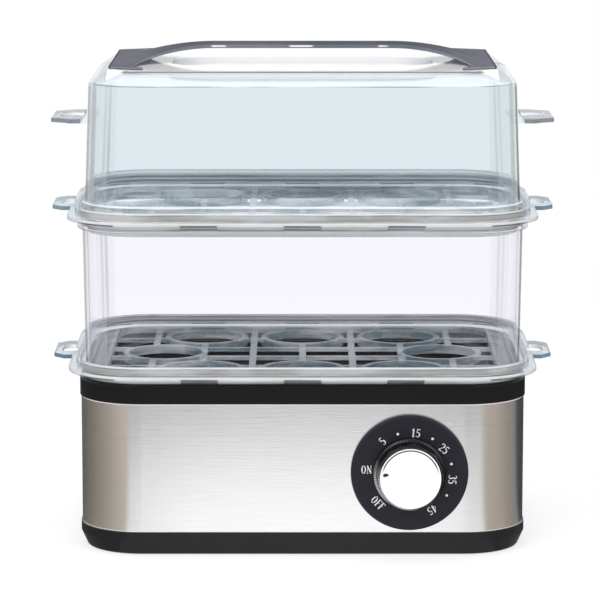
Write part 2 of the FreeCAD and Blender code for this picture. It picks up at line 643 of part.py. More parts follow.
# Water pan: dark coated bowl that hangs by its flange, on a silicone seal
def waterPan():
    piece = Piece("water_pan")
    bowl = piece.sketch(offset=f"{panFloor} - panWall")
    roundedRectangle(bowl, "panWidth / 2", "panDepth / 2", "panCorner")
    piece.pad(bowl, "panSink + panWall")
    piece.fillet(level(f"{panFloor} - panWall"), "panRound")
    flange = piece.sketch(offset=f"{panTop} - panWall")
    roundedRectangle(flange, "(panWidth / 2 + panFlange)", "(panDepth / 2 + panFlange)",
                     "(panCorner + panFlange)")
    piece.pad(flange, "panWall")
    inside = piece.sketch(offset=panTop)
    roundedRectangle(inside, "(panWidth / 2 - panWall)", "(panDepth / 2 - panWall)",
                     "(panCorner - panWall)")
    piece.pocket(inside, "panSink")
    piece.fillet(level(panFloor), "panRound - panWall")
    seal = Piece("pan_seal")
    frameRing(seal, deckTop, "(panWidth / 2 + panFlange)", "(panDepth / 2 + panFlange)",
              "(panCorner + panFlange)", "(panFlange - panPlay)", "sealThickness")
    done("pan_seal", seal)
    return done("water_pan", piece)


# Heater: spreader plate, bent tube pressed flat against it, clamp bars, spacers, shield and screws
def heater():
    spreader = Piece("heat_spreader", z=spreaderBottom)
    plate = spreader.sketch()
    roundedRectangle(plate, "spreaderWidth / 2", "spreaderDepth / 2", "spreaderCorner")
    spreader.pad(plate, "spreaderThickness")
    holes = spreader.sketch()
    for side in ("-", ""):
        circle(holes, f"{side}clampOffset", "0", "studRadius")
    spreader.pocket(holes, "studBite + screwPlay", reverse=True)
    done("heat_spreader", spreader)

    tube = Piece("heating_element", z=f"{spreaderBottom} + elementFlat - elementRadius")
    path = tube.sketch()
    bend, reach = num("elementBend"), num("elementReach")
    turnX = -num("elementReach - elementBend")
    path.addGeometry(Part.LineSegment(Vector(reach, bend, 0), Vector(turnX, bend, 0)))
    around = Part.Circle(Vector(turnX, 0, 0), Vector(0, 0, 1), bend)
    path.addGeometry(Part.ArcOfCircle(around, math.radians(90), math.radians(270)))
    path.addGeometry(Part.LineSegment(Vector(turnX, -bend, 0), Vector(reach, -bend, 0)))
    path.addConstraint(Sketcher.Constraint("Tangent", 0, 2, 1, 1))
    path.addConstraint(Sketcher.Constraint("Tangent", 1, 2, 2, 1))
    path.addConstraint(Sketcher.Constraint("Horizontal", 0))
    path.addConstraint(Sketcher.Constraint("Horizontal", 2))
    path.addConstraint(Sketcher.Constraint("PointOnObject", 1, 3, -1))
    size(path, Sketcher.Constraint("Radius", 1, bend), "elementBend")
    size(path, Sketcher.Constraint("DistanceX", 1, 3, -1, 1, -turnX), "elementReach - elementBend")
    size(path, Sketcher.Constraint("DistanceX", -1, 1, 0, 1, reach), "elementReach")
    size(path, Sketcher.Constraint("DistanceX", -1, 1, 2, 2, reach), "elementReach")
    profile = tube.sketch("YZ_Plane", "elementReach")
    circle(profile, "elementBend", "0", "elementRadius")
    pipe = tube.feature("AdditivePipe")
    pipe.Profile = profile
    pipe.Spine = (path, ["Edge1", "Edge2", "Edge3"])
    tube.finish(pipe)
    for start, reverse in (("elementRadius - elementFlat", True), ("elementFlat - elementRadius", False)):
        flat = tube.sketch(offset=start)
        rectangle(flat, "0", "0", "(elementReach * 2)", "(elementReach * 2)")
        tube.pocket(flat, "elementFlat * 2", reverse=reverse)
    done("heating_element", tube)

    pins = []
    for index, side in enumerate(("-", ""), start=1):
        cold = doc.addObject("Part::Cylinder", f"element_pin_{index}")
        cold.Placement = Placement(Vector(), Rotation(Vector(0, 1, 0), 90))
        cold.setExpression("Radius", expr("terminalRadius"))
        cold.setExpression("Height", expr("terminalLength"))
        cold.setExpression("Placement.Base.x", expr("elementReach"))
        cold.setExpression("Placement.Base.y", expr(f"{side}elementBend"))
        cold.setExpression("Placement.Base.z", expr(f"{spreaderBottom} + elementFlat - elementRadius"))
        pins.append(cold)
    ends = doc.addObject("Part::Compound", "element_pins")
    ends.Links = pins
    keep("element_pins", ends)

    bars = []
    for index, side in enumerate(("-", ""), start=1):
        bar = doc.addObject("Part::Box", f"clamp_bar_{index}")
        bar.setExpression("Length", expr("clampWidth"))
        bar.setExpression("Width", expr("2 * (elementBend + elementRadius)"))
        bar.setExpression("Height", expr("clampThickness"))
        bar.setExpression("Placement.Base.x", expr(f"{side}clampOffset - clampWidth / 2"))
        bar.setExpression("Placement.Base.y", expr("-(elementBend + elementRadius)"))
        bar.setExpression("Placement.Base.z", expr(clampBottom))
        hole = doc.addObject("Part::Cylinder", f"clamp_hole_{index}")
        hole.setExpression("Radius", expr("studRadius + screwPlay"))
        hole.setExpression("Height", expr("clampThickness + 2 * cutClear"))
        hole.setExpression("Placement.Base.x", expr(f"{side}clampOffset"))
        hole.setExpression("Placement.Base.z", expr(f"{clampBottom} - cutClear"))
        drilled = doc.addObject("Part::Cut", f"clamp_drilled_{index}")
        drilled.Base = bar
        drilled.Tool = hole
        bars.append(drilled)
    both = doc.addObject("Part::Compound", "clamp_bars")
    both.Links = bars
    keep("clamp_bars", both)

    places = [("-clampOffset", "0"), ("clampOffset", "0")]
    sleeves = []
    for index, (x, y) in enumerate(places, start=1):
        sleeve = doc.addObject("Part::Cylinder", f"spacer_{index}")
        sleeve.setExpression("Radius", expr("studRadius + screwPlay + spacerWall"))
        sleeve.setExpression("Height", expr("spacerLength"))
        inner = doc.addObject("Part::Cylinder", f"spacer_bore_{index}")
        inner.setExpression("Radius", expr("studRadius + screwPlay"))
        inner.setExpression("Height", expr("spacerLength"))
        for part in (sleeve, inner):
            part.setExpression("Placement.Base.x", expr(x))
            part.setExpression("Placement.Base.z", expr(shieldTop))
        ring = doc.addObject("Part::Cut", f"spacer_ring_{index}")
        ring.Base = sleeve
        ring.Tool = inner
        sleeves.append(ring)
    rings = doc.addObject("Part::Compound", "shield_spacers")
    rings.Links = sleeves
    keep("shield_spacers", rings)

    headTop = f"({shieldTop} - shieldSheet)"
    group("clamp_screws", "XY", [(f"{headTop} - studHeadHeight", "studHeadHeight", "studHead"),
                                 (headTop, f"{spreaderBottom} + studBite - {headTop}", "studRadius")], places)

    shield = Piece("heat_shield", z=f"{shieldTop} - shieldSheet")
    sheetTop = shield.sketch()
    roundedRectangle(sheetTop, "shieldWidth / 2", "shieldDepth / 2", "shieldCorner")
    shield.pad(sheetTop, "shieldSheet")
    skirt = shield.sketch()
    roundedRectangle(skirt, "shieldWidth / 2", "shieldDepth / 2", "shieldCorner")
    roundedRectangle(skirt, "(shieldWidth / 2 - shieldSheet)", "(shieldDepth / 2 - shieldSheet)",
                     "(shieldCorner - shieldSheet)")
    shield.pad(skirt, "shieldSkirt", reverse=True)
    drill = shield.sketch()
    for x, y in places:
        circle(drill, x, y, "studRadius + screwPlay")
    shield.pocket(drill, "shieldSheet", reverse=True)
    done("heat_shield", shield)


# Safety parts on the spreader: boil-dry thermostat, and a thermal fuse in a ceramic block
def safetyParts():
    thermostat = roundStack("thermostat", "0", "0", f"{spreaderBottom} - thermostatHeight",
                            [("0", "thermostatHeight - thermostatFlangeHeight", "thermostatRadius"),
                             ("thermostatHeight - thermostatFlangeHeight", "thermostatFlangeHeight",
                              "thermostatRadius + thermostatFlange")])
    tabs = thermostat.sketch(offset="thermostatTabRaise")
    rectangle(tabs, "0", "0", "tabWidth / 2", f"({tabReach})")
    thermostat.pad(tabs, "tabThickness")
    done("thermostat", thermostat)
    holder = Piece("fuse_block", x=fuseX, z=f"{spreaderBottom} - fuseBlock")
    block = holder.sketch()
    rectangle(block, "0", "0", "fuseBlock / 2", "(fuseLength / 2 - fuseEnd)")
    holder.pad(block, "fuseBlock")
    bore = holder.sketch("XZ_Plane", "fuseLength")
    circle(bore, "0", "fuseBlock / 2", "fuseRadius + screwPlay / 3")
    holder.pocket(bore, "fuseLength * 2")
    done("fuse_block", holder)
    fuse = doc.addObject("Part::Cylinder", "thermal_fuse")
    fuse.setExpression("Radius", expr("fuseRadius"))
    fuse.setExpression("Height", expr("fuseLength"))
    fuse.Placement = Placement(Vector(), Rotation(Vector(1, 0, 0), 90))
    fuse.setExpression("Placement.Base.x", expr(fuseX))
    fuse.setExpression("Placement.Base.y", expr(f"{centreShift} + fuseLength / 2"))
    fuse.setExpression("Placement.Base.z", expr(f"{spreaderBottom} - fuseBlock / 2"))
    keep("thermal_fuse", fuse, shift=False)


# Timer: square case behind the steel, back plate with tabs, gong, and the screws under the dial
def timer():
    case = Piece("timer_case", x="dialAcross", z="dialRaise")
    outside = case.sketch("XZ_Plane", caseBack)
    rectangle(outside, "0", "0", "timerSize / 2", "timerSize / 2")
    case.pad(outside, "timerDepth")
    inside = case.sketch("XZ_Plane", caseBack)
    rectangle(inside, "0", "0", "(timerSize / 2 - timerWall)", "(timerSize / 2 - timerWall)")
    case.pocket(inside, "timerDepth - timerFront", reverse=True)
    bush = case.sketch("XZ_Plane", f"{caseFront} + cutClear")
    circle(bush, "0", "0", "shaftRadius + shaftPlay")
    case.pocket(bush, "timerDepth")
    holes = case.sketch("XZ_Plane", f"{caseFront} + cutClear")
    for side in ("-", ""):
        circle(holes, f"{side}timerHolePitch / 2", "0", "screwRadius")
    case.pocket(holes, "timerFront + cutClear")
    done("timer_case", case)

    back = Piece("timer_back", x="dialAcross", z="dialRaise")
    plate = back.sketch("XZ_Plane", f"{caseBack} - timerWall")
    rectangle(plate, "0", "0", "timerSize / 2", "timerSize / 2")
    back.pad(plate, "timerWall")
    post = back.sketch("XZ_Plane", f"{caseBack} - timerWall")
    circle(post, "0", "0", "bellPost")
    back.pad(post, "bellDepth - bellSheet", reverse=True)
    tabs = back.sketch("XZ_Plane", f"{caseBack} - timerWall")
    for side in ("-", ""):
        rectangle(tabs, f"{side}tabOffset", "timerSize / 2 - tabDrop", "tabThickness / 2", "tabWidth / 2")
    back.pad(tabs, "tabLength", reverse=True)
    done("timer_back", back)

    gong = Piece("timer_bell", x="dialAcross", z="dialRaise")
    cup = gong.sketch("XZ_Plane", f"{caseBack} - timerWall - bellDepth")
    circle(cup, "0", "0", "bellRadius")
    gong.pad(cup, "bellDepth - bellPlay")
    gong.fillet(facing(f"-({caseBack} - timerWall - bellDepth)"), "bellRound")
    hollow = gong.sketch("XZ_Plane", f"{caseBack} - timerWall - bellPlay")
    circle(hollow, "0", "0", "bellRadius - bellSheet")
    gong.pocket(hollow, "bellDepth - bellPlay - bellSheet")
    done("timer_bell", gong)

    group("timer_screws", "XZ",
          [(f"{caseFront} - timerFront", "timerFront + steelThickness", "screwRadius"),
           (steelFront, "timerScrewHead", "screwHead")],
          [(f"dialAcross {side} timerHolePitch / 2", "dialRaise") for side in ("-", "+")])


# Dial plate: a shallow cup that stands on its rim against the steel
def dialPlate():
    piece = Piece("dial_plate", x="dialAcross", z="dialRaise")
    disc = piece.sketch("XZ_Plane", steelFront)
    circle(disc, "0", "0", "dialRadius")
    piece.pad(disc, "dialThickness")
    piece.chamfer(facing(f"-{dialFront}"), "dialBevel")
    hollow = piece.sketch("XZ_Plane", steelFront)
    circle(hollow, "0", "0", "dialRadius - dialRim")
    piece.pocket(hollow, "dialThickness - dialFace", reverse=True)
    hole = piece.sketch("XZ_Plane", f"{dialFront} + cutClear")
    circle(hole, "0", "0", "shaftRadius + shaftRoom / 2")
    piece.pocket(hole, "dialThickness + cutClear")
    return done("dial_plate", piece)


# Knob, its metal cap, the shaft that it drives and the switch cam on that shaft
def knobParts():
    knob = Piece("knob", x="dialAcross", z="dialRaise")
    skirt = knob.sketch("XZ_Plane", knobBack)
    circle(skirt, "0", "0", "knobSkirt")
    knob.pad(skirt, "skirtThickness")
    knob.chamfer(facing(f"-({knobBack} + skirtThickness)"), "skirtBevel")
    grip = knob.sketch("XZ_Plane", knobBack)
    circle(grip, "0", "0", "knobGrip")
    knob.pad(grip, "knobLength")
    knob.fillet(facing(f"-{knobFront}"), "knobRound")
    groove = knob.sketch("XZ_Plane", f"{knobBack} + skirtThickness")
    circle(groove, "0", "knobGrip", "gripGroove")
    cut = knob.pocket(groove, "knobLength - skirtThickness - grooveEnd", reverse=True)
    ring = knob.feature("PolarPattern")
    ring.Originals = [cut]
    ring.Axis = (next(part for part in knob.body.Origin.OriginFeatures if part.Role == "Y_Axis"), [""])
    ring.Angle = 360
    ring.Occurrences = gripGrooves
    knob.finish(ring)
    sink = knob.sketch("XZ_Plane", knobFront)
    circle(sink, "0", "0", "capRadius")
    knob.pocket(sink, "capSink")
    bore = knob.sketch("XZ_Plane", knobBack)
    circle(bore, "0", "0", "shaftRadius")
    knob.pocket(bore, "shaftGrip", reverse=True)
    done("knob", knob)

    cap = Piece("knob_cap", x="dialAcross", z="dialRaise")
    disc = cap.sketch("XZ_Plane", f"{knobFront} - capSink")
    circle(disc, "0", "0", "capRadius")
    cap.pad(disc, "capThickness")
    cap.fillet(facing(f"-({knobFront} - capSink + capThickness)"), "knobRound")
    done("knob_cap", cap)

    shaft = Piece("timer_shaft", x="dialAcross", z="dialRaise")
    rod = shaft.sketch("XZ_Plane", f"{caseBack} + shaftFoot")
    circle(rod, "0", "0", "shaftRadius")
    shaft.pad(rod, f"{knobBack} + shaftGrip - {caseBack} - shaftFoot")
    done("timer_shaft", shaft)

    cam = Piece("timer_cam", x="dialAcross", z="dialRaise")
    wheel = cam.sketch("XZ_Plane", f"{caseBack} + timerDepth / 2 - camThickness / 2")
    circle(wheel, "0", "0", "camRadius")
    circle(wheel, "0", "0", "shaftRadius")
    cam.pad(wheel, "camThickness")
    notch = cam.sketch("XZ_Plane", f"{caseBack} + timerDepth / 2 - camThickness / 2")
    rectangle(notch, "camRadius", "0", "camNotchDepth", "camNotch / 2")
    cam.pocket(notch, "camThickness", reverse=True)
    done("timer_cam", cam)


# Mains inlet: flanged socket in the rear wall, with three blades, two screws and their nuts
def mainsInlet():
    back = f"(0 - {steelFront})"
    piece = Piece("power_inlet", z="inletRaise")
    flange = piece.sketch("XZ_Plane", back)
    roundedRectangle(flange, "inletWidth / 2", "inletTall / 2", "inletCorner")
    piece.pad(flange, "inletFlange", reverse=True)
    block = piece.sketch("XZ_Plane", back)
    rectangle(block, "0", "0", "inletBodyWidth / 2", "(inletTall / 2 - inletFlange)")
    piece.pad(block, "inletBodyDepth")
    socket = piece.sketch("XZ_Plane", f"{back} - inletFlange")
    rectangle(socket, "0", "0", "(inletBodyWidth / 2 - inletWall)",
              "(inletTall / 2 - inletFlange - inletWall)")
    piece.pocket(socket, "socketDepth", reverse=True)
    holes = piece.sketch("XZ_Plane", f"{back} - inletFlange")
    for side in ("-", ""):
        circle(holes, f"{side}inletHolePitch / 2", "0", "inletHole")
    piece.pocket(holes, "inletFlange", reverse=True)
    slots = piece.sketch("XZ_Plane", f"{back} - inletFlange")
    for step in (-1, 0, 1):
        rectangle(slots, f"{step} * bladePitch", "0", "bladeThickness / 2", "bladeTall / 2")
    piece.pocket(slots, "inletFlange + inletBodyDepth", reverse=True)
    done("power_inlet", piece)

    blades = []
    for step in (-1, 0, 1):
        blade = doc.addObject("Part::Box", f"inlet_blade_{step + 2}")
        blade.setExpression("Length", expr("bladeThickness"))
        blade.setExpression("Width", expr("inletBodyDepth + inletFlange - bladeRecess + tabLength"))
        blade.setExpression("Height", expr("bladeTall"))
        blade.setExpression("Placement.Base.x", expr(f"{step} * bladePitch - bladeThickness / 2"))
        blade.setExpression("Placement.Base.y", expr(bladeEnd))
        blade.setExpression("Placement.Base.z", expr("inletRaise - bladeTall / 2"))
        blades.append(blade)
    together = doc.addObject("Part::Compound", "inlet_blades")
    together.Links = blades
    keep("inlet_blades", together)

    places = [(f"0 {side} inletHolePitch / 2", "inletRaise") for side in ("-", "+")]
    headStart = f"({back} - inletFlange - inletScrewHead)"
    group("inlet_screws", "XZ", [(headStart, "inletScrewHead", "screwHead"),
                                 (f"{back} - inletFlange", "inletScrewLength", "screwRadius")], places)
    nuts = []
    for index, side in enumerate(("-", "+"), start=1):
        hexagon = doc.addObject("Part::Prism", f"inlet_nut_{index}")
        hexagon.Polygon = 6
        hexagon.setExpression("Circumradius", expr("nutRadius"))
        hexagon.setExpression("Height", expr("nutHeight"))
        bore = doc.addObject("Part::Cylinder", f"inlet_nut_bore_{index}")
        bore.setExpression("Radius", expr("screwRadius"))
        bore.setExpression("Height", expr("nutHeight"))
        for part in (hexagon, bore):
            part.Placement = Placement(Vector(), Rotation(Vector(1, 0, 0), 90))
            part.setExpression("Placement.Base.x", expr(f"0 {side} inletHolePitch / 2"))
            part.setExpression("Placement.Base.y", expr(f"{steelFront} - steelThickness"))
            part.setExpression("Placement.Base.z", expr("inletRaise"))
        nut = doc.addObject("Part::Cut", f"inlet_nut_ring_{index}")
        nut.Base = hexagon
        nut.Tool = bore
        nuts.append(nut)
    pair = doc.addObject("Part::Compound", "inlet_nuts")
    pair.Links = nuts
    keep("inlet_nuts", pair)


# Feet and casing screws
def feetAndScrews():
    group("rubber_feet", "XY", [("0", "footHeight + footRecess", "footRadius")],
          corners("(baseWidth / 2 - footInset)", "(baseDepth / 2 - footInset)"))
    headTop = "(footHeight + screwSink)"
    thread = f"{bossTop} - {headTop} + screwBite - screwTip"
    group("base_screws", "XY", [(f"{headTop} - baseScrewHead", "baseScrewHead", "screwHead"),
                                (headTop, thread, "screwRadius")], corners(postX, postY))


# Leads: each follows straight runs joined by tangent arcs, each as large as its runs allow
def lead(label, points):
    route = [Vector(*[num(value) for value in point]) for point in points]
    radius = num("leadRadius")
    edges = []
    start = route[0]
    for index in range(1, len(route) - 1):
        before = route[index] - route[index - 1]
        after = route[index + 1] - route[index]
        turn = before.getAngle(after)
        bend = bendShare * min(before.Length, after.Length) / math.tan(turn / 2)
        cut = bend * math.tan(turn / 2)
        inward = before.normalize()
        outward = after.normalize()
        arcStart = route[index] - inward * cut
        arcEnd = route[index] + outward * cut
        middle = route[index] + (outward - inward).normalize() * (bend / math.cos(turn / 2) - bend)
        edges.append(Part.LineSegment(start, arcStart).toShape())
        edges.append(Part.Arc(arcStart, middle, arcEnd).toShape())
        start = arcEnd
    edges.append(Part.LineSegment(start, route[-1]).toShape())
    path = Part.Wire(edges)
    ring = Part.Wire(Part.makeCircle(radius, route[0], route[1] - route[0]))
    tube = path.makePipeShell([ring], True, False)
    expected = math.pi * radius ** 2 * path.Length
    print(label, "volume over section times length", round(tube.Volume / expected, 4))
    made = doc.addObject("Part::Feature", label)
    made.Shape = tube
    made.Placement.Base = Vector(0, num(centreShift), 0)
    kept.append((label, made))


def leads():
    tabZ = "(dialRaise + timerSize / 2 - tabDrop)"
    tabEnd = f"(timerWall + tabLength - {caseBack})"
    pinZ = f"({spreaderBottom} + elementFlat - elementRadius)"
    pinEnd = "(elementReach + terminalLength)"
    fuseZ = f"({spreaderBottom} - fuseBlock / 2)"
    thermoZ = f"({spreaderBottom} - thermostatHeight + thermostatTabRaise + tabThickness / 2)"
    bladeBack = f"({bladeEnd} - 3.3)"
    overBar = f"({spreaderBottom} - {elementHeight} / 2 + 0.4)"
    leftTab, rightTab = "dialAcross - tabOffset", "dialAcross + tabOffset"
    edge = "(shieldWidth / 2)"
    lead("live_lead", [
        ("-bladePitch", bladeEnd, "inletRaise"),
        ("-bladePitch", bladeBack, "inletRaise"),
        ("-bladePitch", bladeBack, "12"),
        ("-2", "0", "10"),
        ("14", "-36", "14"),
        ("17", "-38", "42"),
        (leftTab, f"{tabEnd} + 5", tabZ),
        (leftTab, tabEnd, tabZ),
    ])
    lead("timer_lead", [
        (rightTab, tabEnd, tabZ),
        (rightTab, f"{tabEnd} + 4", tabZ),
        ("50", "-31.5", "45.3"),
        ("30", "-24", "45.3"),
        (fuseX, "-14", "46.5"),
        (fuseX, "-9", fuseZ),
        (fuseX, "-fuseLength / 2", fuseZ),
    ])
    lead("fuse_lead", [
        (fuseX, "fuseLength / 2", fuseZ),
        (fuseX, "12", fuseZ),
        ("20", "16.5", overBar),
        ("5", "18.5", overBar),
        ("0", f"{tabReach} + 4", thermoZ),
        ("0", tabReach, thermoZ),
    ])
    lead("element_lead", [
        ("0", f"-{tabReach}", thermoZ),
        ("0", f"-{tabReach} - 3.5", thermoZ),
        ("9", "-18", overBar),
        ("50", "-17", overBar),
        (f"{pinEnd} + 9", "-17", pinZ),
        (f"{pinEnd} + 9", "-elementBend", pinZ),
        (pinEnd, "-elementBend", pinZ),
    ])
    lead("neutral_lead", [
        ("bladePitch", bladeEnd, "inletRaise"),
        ("bladePitch", bladeBack, "inletRaise"),
        ("bladePitch", f"{bladeBack} - 1", "20"),
        ("34", "31", "14"),
        (f"{edge} + 8", "34", "24"),
        (f"{edge} + 12", "elementBend", pinZ),
        (pinEnd, "elementBend", pinZ),
    ])
    lead("earth_lead", [
        ("0", bladeEnd, "inletRaise"),
        ("0", bladeBack, "inletRaise"),
        ("0", "30", "24"),
        ("-40", "28", "22"),
        (f"-{edge} - 10", "4", "34"),
        (f"-{edge} - 3", "0", "44"),
        (f"-{edge} - 3", "0", spreaderBottom),
    ])


# Egg tray: flange plate with ears, rim, skirt with steam notches, locating lip and the egg floor
def seatPlaces():
    rows = [(f"{step} * seatPitch", row) for row in ("-rowPitch", "rowPitch") for step in (-1, 0, 1)]
    return rows + [("-middleSeat", "0"), ("middleSeat", "0")]


def earPair(piece, height, thickness, start, root, tip, bevel, hole, holeLength):
    """Adds one bevelled ear with an oblong hole, from the given distance outwards, and its mirror image."""
    outline = piece.sketch(offset=height)
    shoulder = f"{earReach} - {bevel}"
    polygon(outline, [(start, f"0 - {root}"), (shoulder, f"0 - {root}"), (earReach, f"0 - {tip}"),
                      (earReach, tip), (shoulder, root), (start, root)])
    ear = piece.pad(outline, thickness)
    slot = piece.sketch(offset=height)
    halfRound = f"{hole} / 2"
    centreX = f"({earReach} - earEdge - {hole} / 2)"
    reach = f"({holeLength} - {hole}) / 2"
    x, y, r = num(centreX), num(reach), num(halfRound)
    slot.addGeometry(Part.LineSegment(Vector(x + r, -y, 0), Vector(x + r, y, 0)))
    slot.addGeometry(Part.ArcOfCircle(Part.Circle(Vector(x, y, 0), Vector(0, 0, 1), r), 0, math.pi))
    slot.addGeometry(Part.LineSegment(Vector(x - r, y, 0), Vector(x - r, -y, 0)))
    slot.addGeometry(Part.ArcOfCircle(Part.Circle(Vector(x, -y, 0), Vector(0, 0, 1), r), math.pi,
                                      2 * math.pi))
    for index in range(4):
        slot.addConstraint(Sketcher.Constraint("Tangent", index, 2, (index + 1) % 4, 1))
    slot.addConstraint(Sketcher.Constraint("Vertical", 0))
    slot.addConstraint(Sketcher.Constraint("Equal", 1, 3))
    size(slot, Sketcher.Constraint("Radius", 1, r), halfRound)
    pin(slot, 1, 3, centreX, reach)
    size(slot, Sketcher.Constraint("DistanceY", 3, 3, -1, 1, y), reach)
    cut = piece.pocket(slot, thickness, reverse=True)
    piece.mirror([ear, cut], "YZ_Plane")


def eggTray(label, plateTop):
    """Builds one tray whose plate's upper face lies at the given height; both trays are alike."""
    piece = Piece(label, z=plateTop)
    plate = piece.sketch(offset="-trayPlate")
    roundedRectangle(plate, "trayWidth / 2", "trayDepth / 2", "trayCorner")
    piece.pad(plate, "trayPlate")
    earPair(piece, "-trayPlate", "trayPlate", "trayWidth / 2 - rimInset - rimWall", "trayEarRoot",
            "trayEarTip", "trayEarBevel", "trayEarHole", "trayEarHoleLength")
    frameRing(piece, "0", "(trayWidth / 2 - rimInset)", "(trayDepth / 2 - rimInsetFront)",
              "(trayCorner - rimInsetFront)", "rimWall", "rimHeight")
    skirtBottom = "(0 - trayPlate - skirtDepth)"
    frameRing(piece, skirtBottom, "(baseWidth / 2 - skirtInset)", "(baseDepth / 2 - skirtInset)",
              "(baseCorner - skirtInset)", "skirtWall", "skirtDepth")
    notches = piece.sketch("XZ_Plane", "trayDepth / 2")
    for step in (-1, 0, 1):
        rectangle(notches, f"{step} * seatPitch", f"{skirtBottom} + notchHeight / 2", "notchWidth / 2",
                  "notchHeight / 2")
    piece.pocket(notches, "trayDepth")
    frameRing(piece, f"{skirtBottom} - lipReach", lipHalfX, lipHalfY, f"({lipCorner} - lipPlay)", "lipWall",
              "skirtDepth + lipReach")
    edgeX, edgeY = f"({lipHalfX} - floorInset)", f"({lipHalfY} - floorInsetFront)"
    ledge = piece.sketch(offset="0 - floorSink - floorThickness")
    roundedRectangle(ledge, edgeX, edgeY, "floorCorner")
    piece.pad(ledge, "floorSink + floorThickness - trayPlate / 2")
    window = piece.sketch()
    roundedRectangle(window, f"({edgeX} - skirtWall)", f"({edgeY} - skirtWall)",
                     "(floorCorner - skirtWall)")
    piece.pocket(window, "floorSink + floorThickness")
    lengthwise = piece.sketch(offset="0 - floorSink - floorThickness")
    for place in ("-outerBar", "-innerBar", "innerBar", "outerBar"):
        rectangle(lengthwise, "0", place, f"({edgeX} - skirtWall / 2)", "barWidth / 2")
    piece.pad(lengthwise, "floorThickness")
    crosswise = piece.sketch(offset="0 - floorSink - floorThickness")
    for step in range(-3, 4):
        rectangle(crosswise, f"{step} * seatPitch / 2", "0", "barWidth / 2", f"({edgeY} - skirtWall / 2)")
    piece.pad(crosswise, "floorThickness")
    rings = piece.sketch(offset="0 - floorSink - floorThickness - seatDrop")
    for x, y in seatPlaces():
        circle(rings, x, y, "seatRadius + seatWall")
    piece.pad(rings, "floorThickness + seatDrop")
    seats = piece.sketch()
    for x, y in seatPlaces():
        circle(seats, x, y, "seatRadius")
    piece.pocket(seats, "floorSink + floorThickness + seatDrop")
    return done(label, piece)


# Middle chamber: open clear frame, a little wider at its top, with a bead below and a flange above
def middleChamber():
    piece = Piece("middle_chamber", z=lowerPlate)
    outer = [piece.sketch(), piece.sketch(offset="chamberHeight")]
    inner = [piece.sketch(), piece.sketch(offset="chamberHeight")]
    for index, flare in enumerate(("0", "chamberFlare")):
        halfX, halfY = f"(chamberFootWidth / 2 + {flare})", f"(chamberFootDepth / 2 + {flare})"
        roundedRectangle(outer[index], halfX, halfY, "coverCorner")
        roundedRectangle(inner[index], f"({halfX} - coverWall)", f"({halfY} - coverWall)", lipCorner)
    piece.loft(outer)
    bead = piece.sketch()
    roundedRectangle(bead, "(chamberFootWidth / 2 + beadWidth)", "(chamberFootDepth / 2 + beadWidth)",
                     "(coverCorner + beadWidth)")
    piece.pad(bead, "beadHeight")
    flange = piece.sketch(offset="chamberHeight - topFlangeThickness")
    roundedRectangle(flange, "(chamberFootWidth / 2 + chamberFlare + topFlange)",
                     "(chamberFootDepth / 2 + chamberFlare + topFlange)", "(coverCorner + topFlange)")
    piece.pad(flange, "topFlangeThickness")
    piece.loft(inner, cut=True)
    return done("middle_chamber", piece)


# Lid: clear cover with sloping shoulders, a collar at its foot, two ears and a finger well
def lid():
    piece = Piece("lid", z=upperPlate)
    foot = ("lidFootWidth / 2", "lidFootDepth / 2")
    shoulder = tuple(f"({half} - lidDraft)" for half in foot)
    top = tuple(f"({half} - lidBevel)" for half in shoulder)
    shoulderZ = "(lidHeight - shoulderHeight)"
    radii = ("coverCorner", "(coverCorner - lidDraft / 2)", "(coverCorner - lidBevel - lidDraft / 2)")

    def section(height, half, radius, inset):
        made = piece.sketch(offset=height)
        roundedRectangle(made, f"({half[0]} - {inset})", f"({half[1]} - {inset})", f"({radius} - {inset})")
        return made

    piece.loft([section("0", foot, radii[0], "0"), section(shoulderZ, shoulder, radii[1], "0")])
    piece.loft([section(shoulderZ, shoulder, radii[1], "0"), section("lidHeight", top, radii[2], "0")])
    piece.pad(section("0", foot, radii[0], "(0 - lidCollar)"), "collarHeight")
    piece.pad(section("0", foot, radii[0], "(0 - beadWidth)"), "beadHeight")
    earPair(piece, "lidEarRaise - lidEarThickness", "lidEarThickness",
            "lidFootWidth / 2 - 2 * coverWall - lidDraft", "lidEarRoot", "lidEarTip", "lidEarBevel",
            "lidEarHole", "lidEarHoleLength")
    innerTop = "(lidHeight - coverWall)"
    piece.loft([section("0", foot, radii[0], "coverWall"),
                section(shoulderZ, shoulder, radii[1], "coverWall")], cut=True)
    piece.loft([section(shoulderZ, shoulder, radii[1], "coverWall"),
                section(innerTop, top, radii[2], "(coverWall + shoulderFill)")], cut=True)
    under = piece.sketch(offset="lidHeight - wellSink - coverWall")
    roundedRectangle(under, "(wellWidth / 2 + coverWall)", "(wellDepth / 2 + coverWall)",
                     "(wellCorner + coverWall)")
    piece.pad(under, "wellSink + coverWall / 2")
    well = piece.sketch(offset="lidHeight")
    roundedRectangle(well, "wellWidth / 2", "wellDepth / 2", "wellCorner")
    piece.pocket(well, "wellSink")
    rivets = piece.sketch(offset="lidHeight")
    for x, y in corners("(handleReach - rivetInset)", "rivetSpread"):
        circle(rivets, x, y, "rivetRadius + rivetPlay")
    piece.pocket(rivets, "coverWall + cutClear")
    return done("lid", piece)


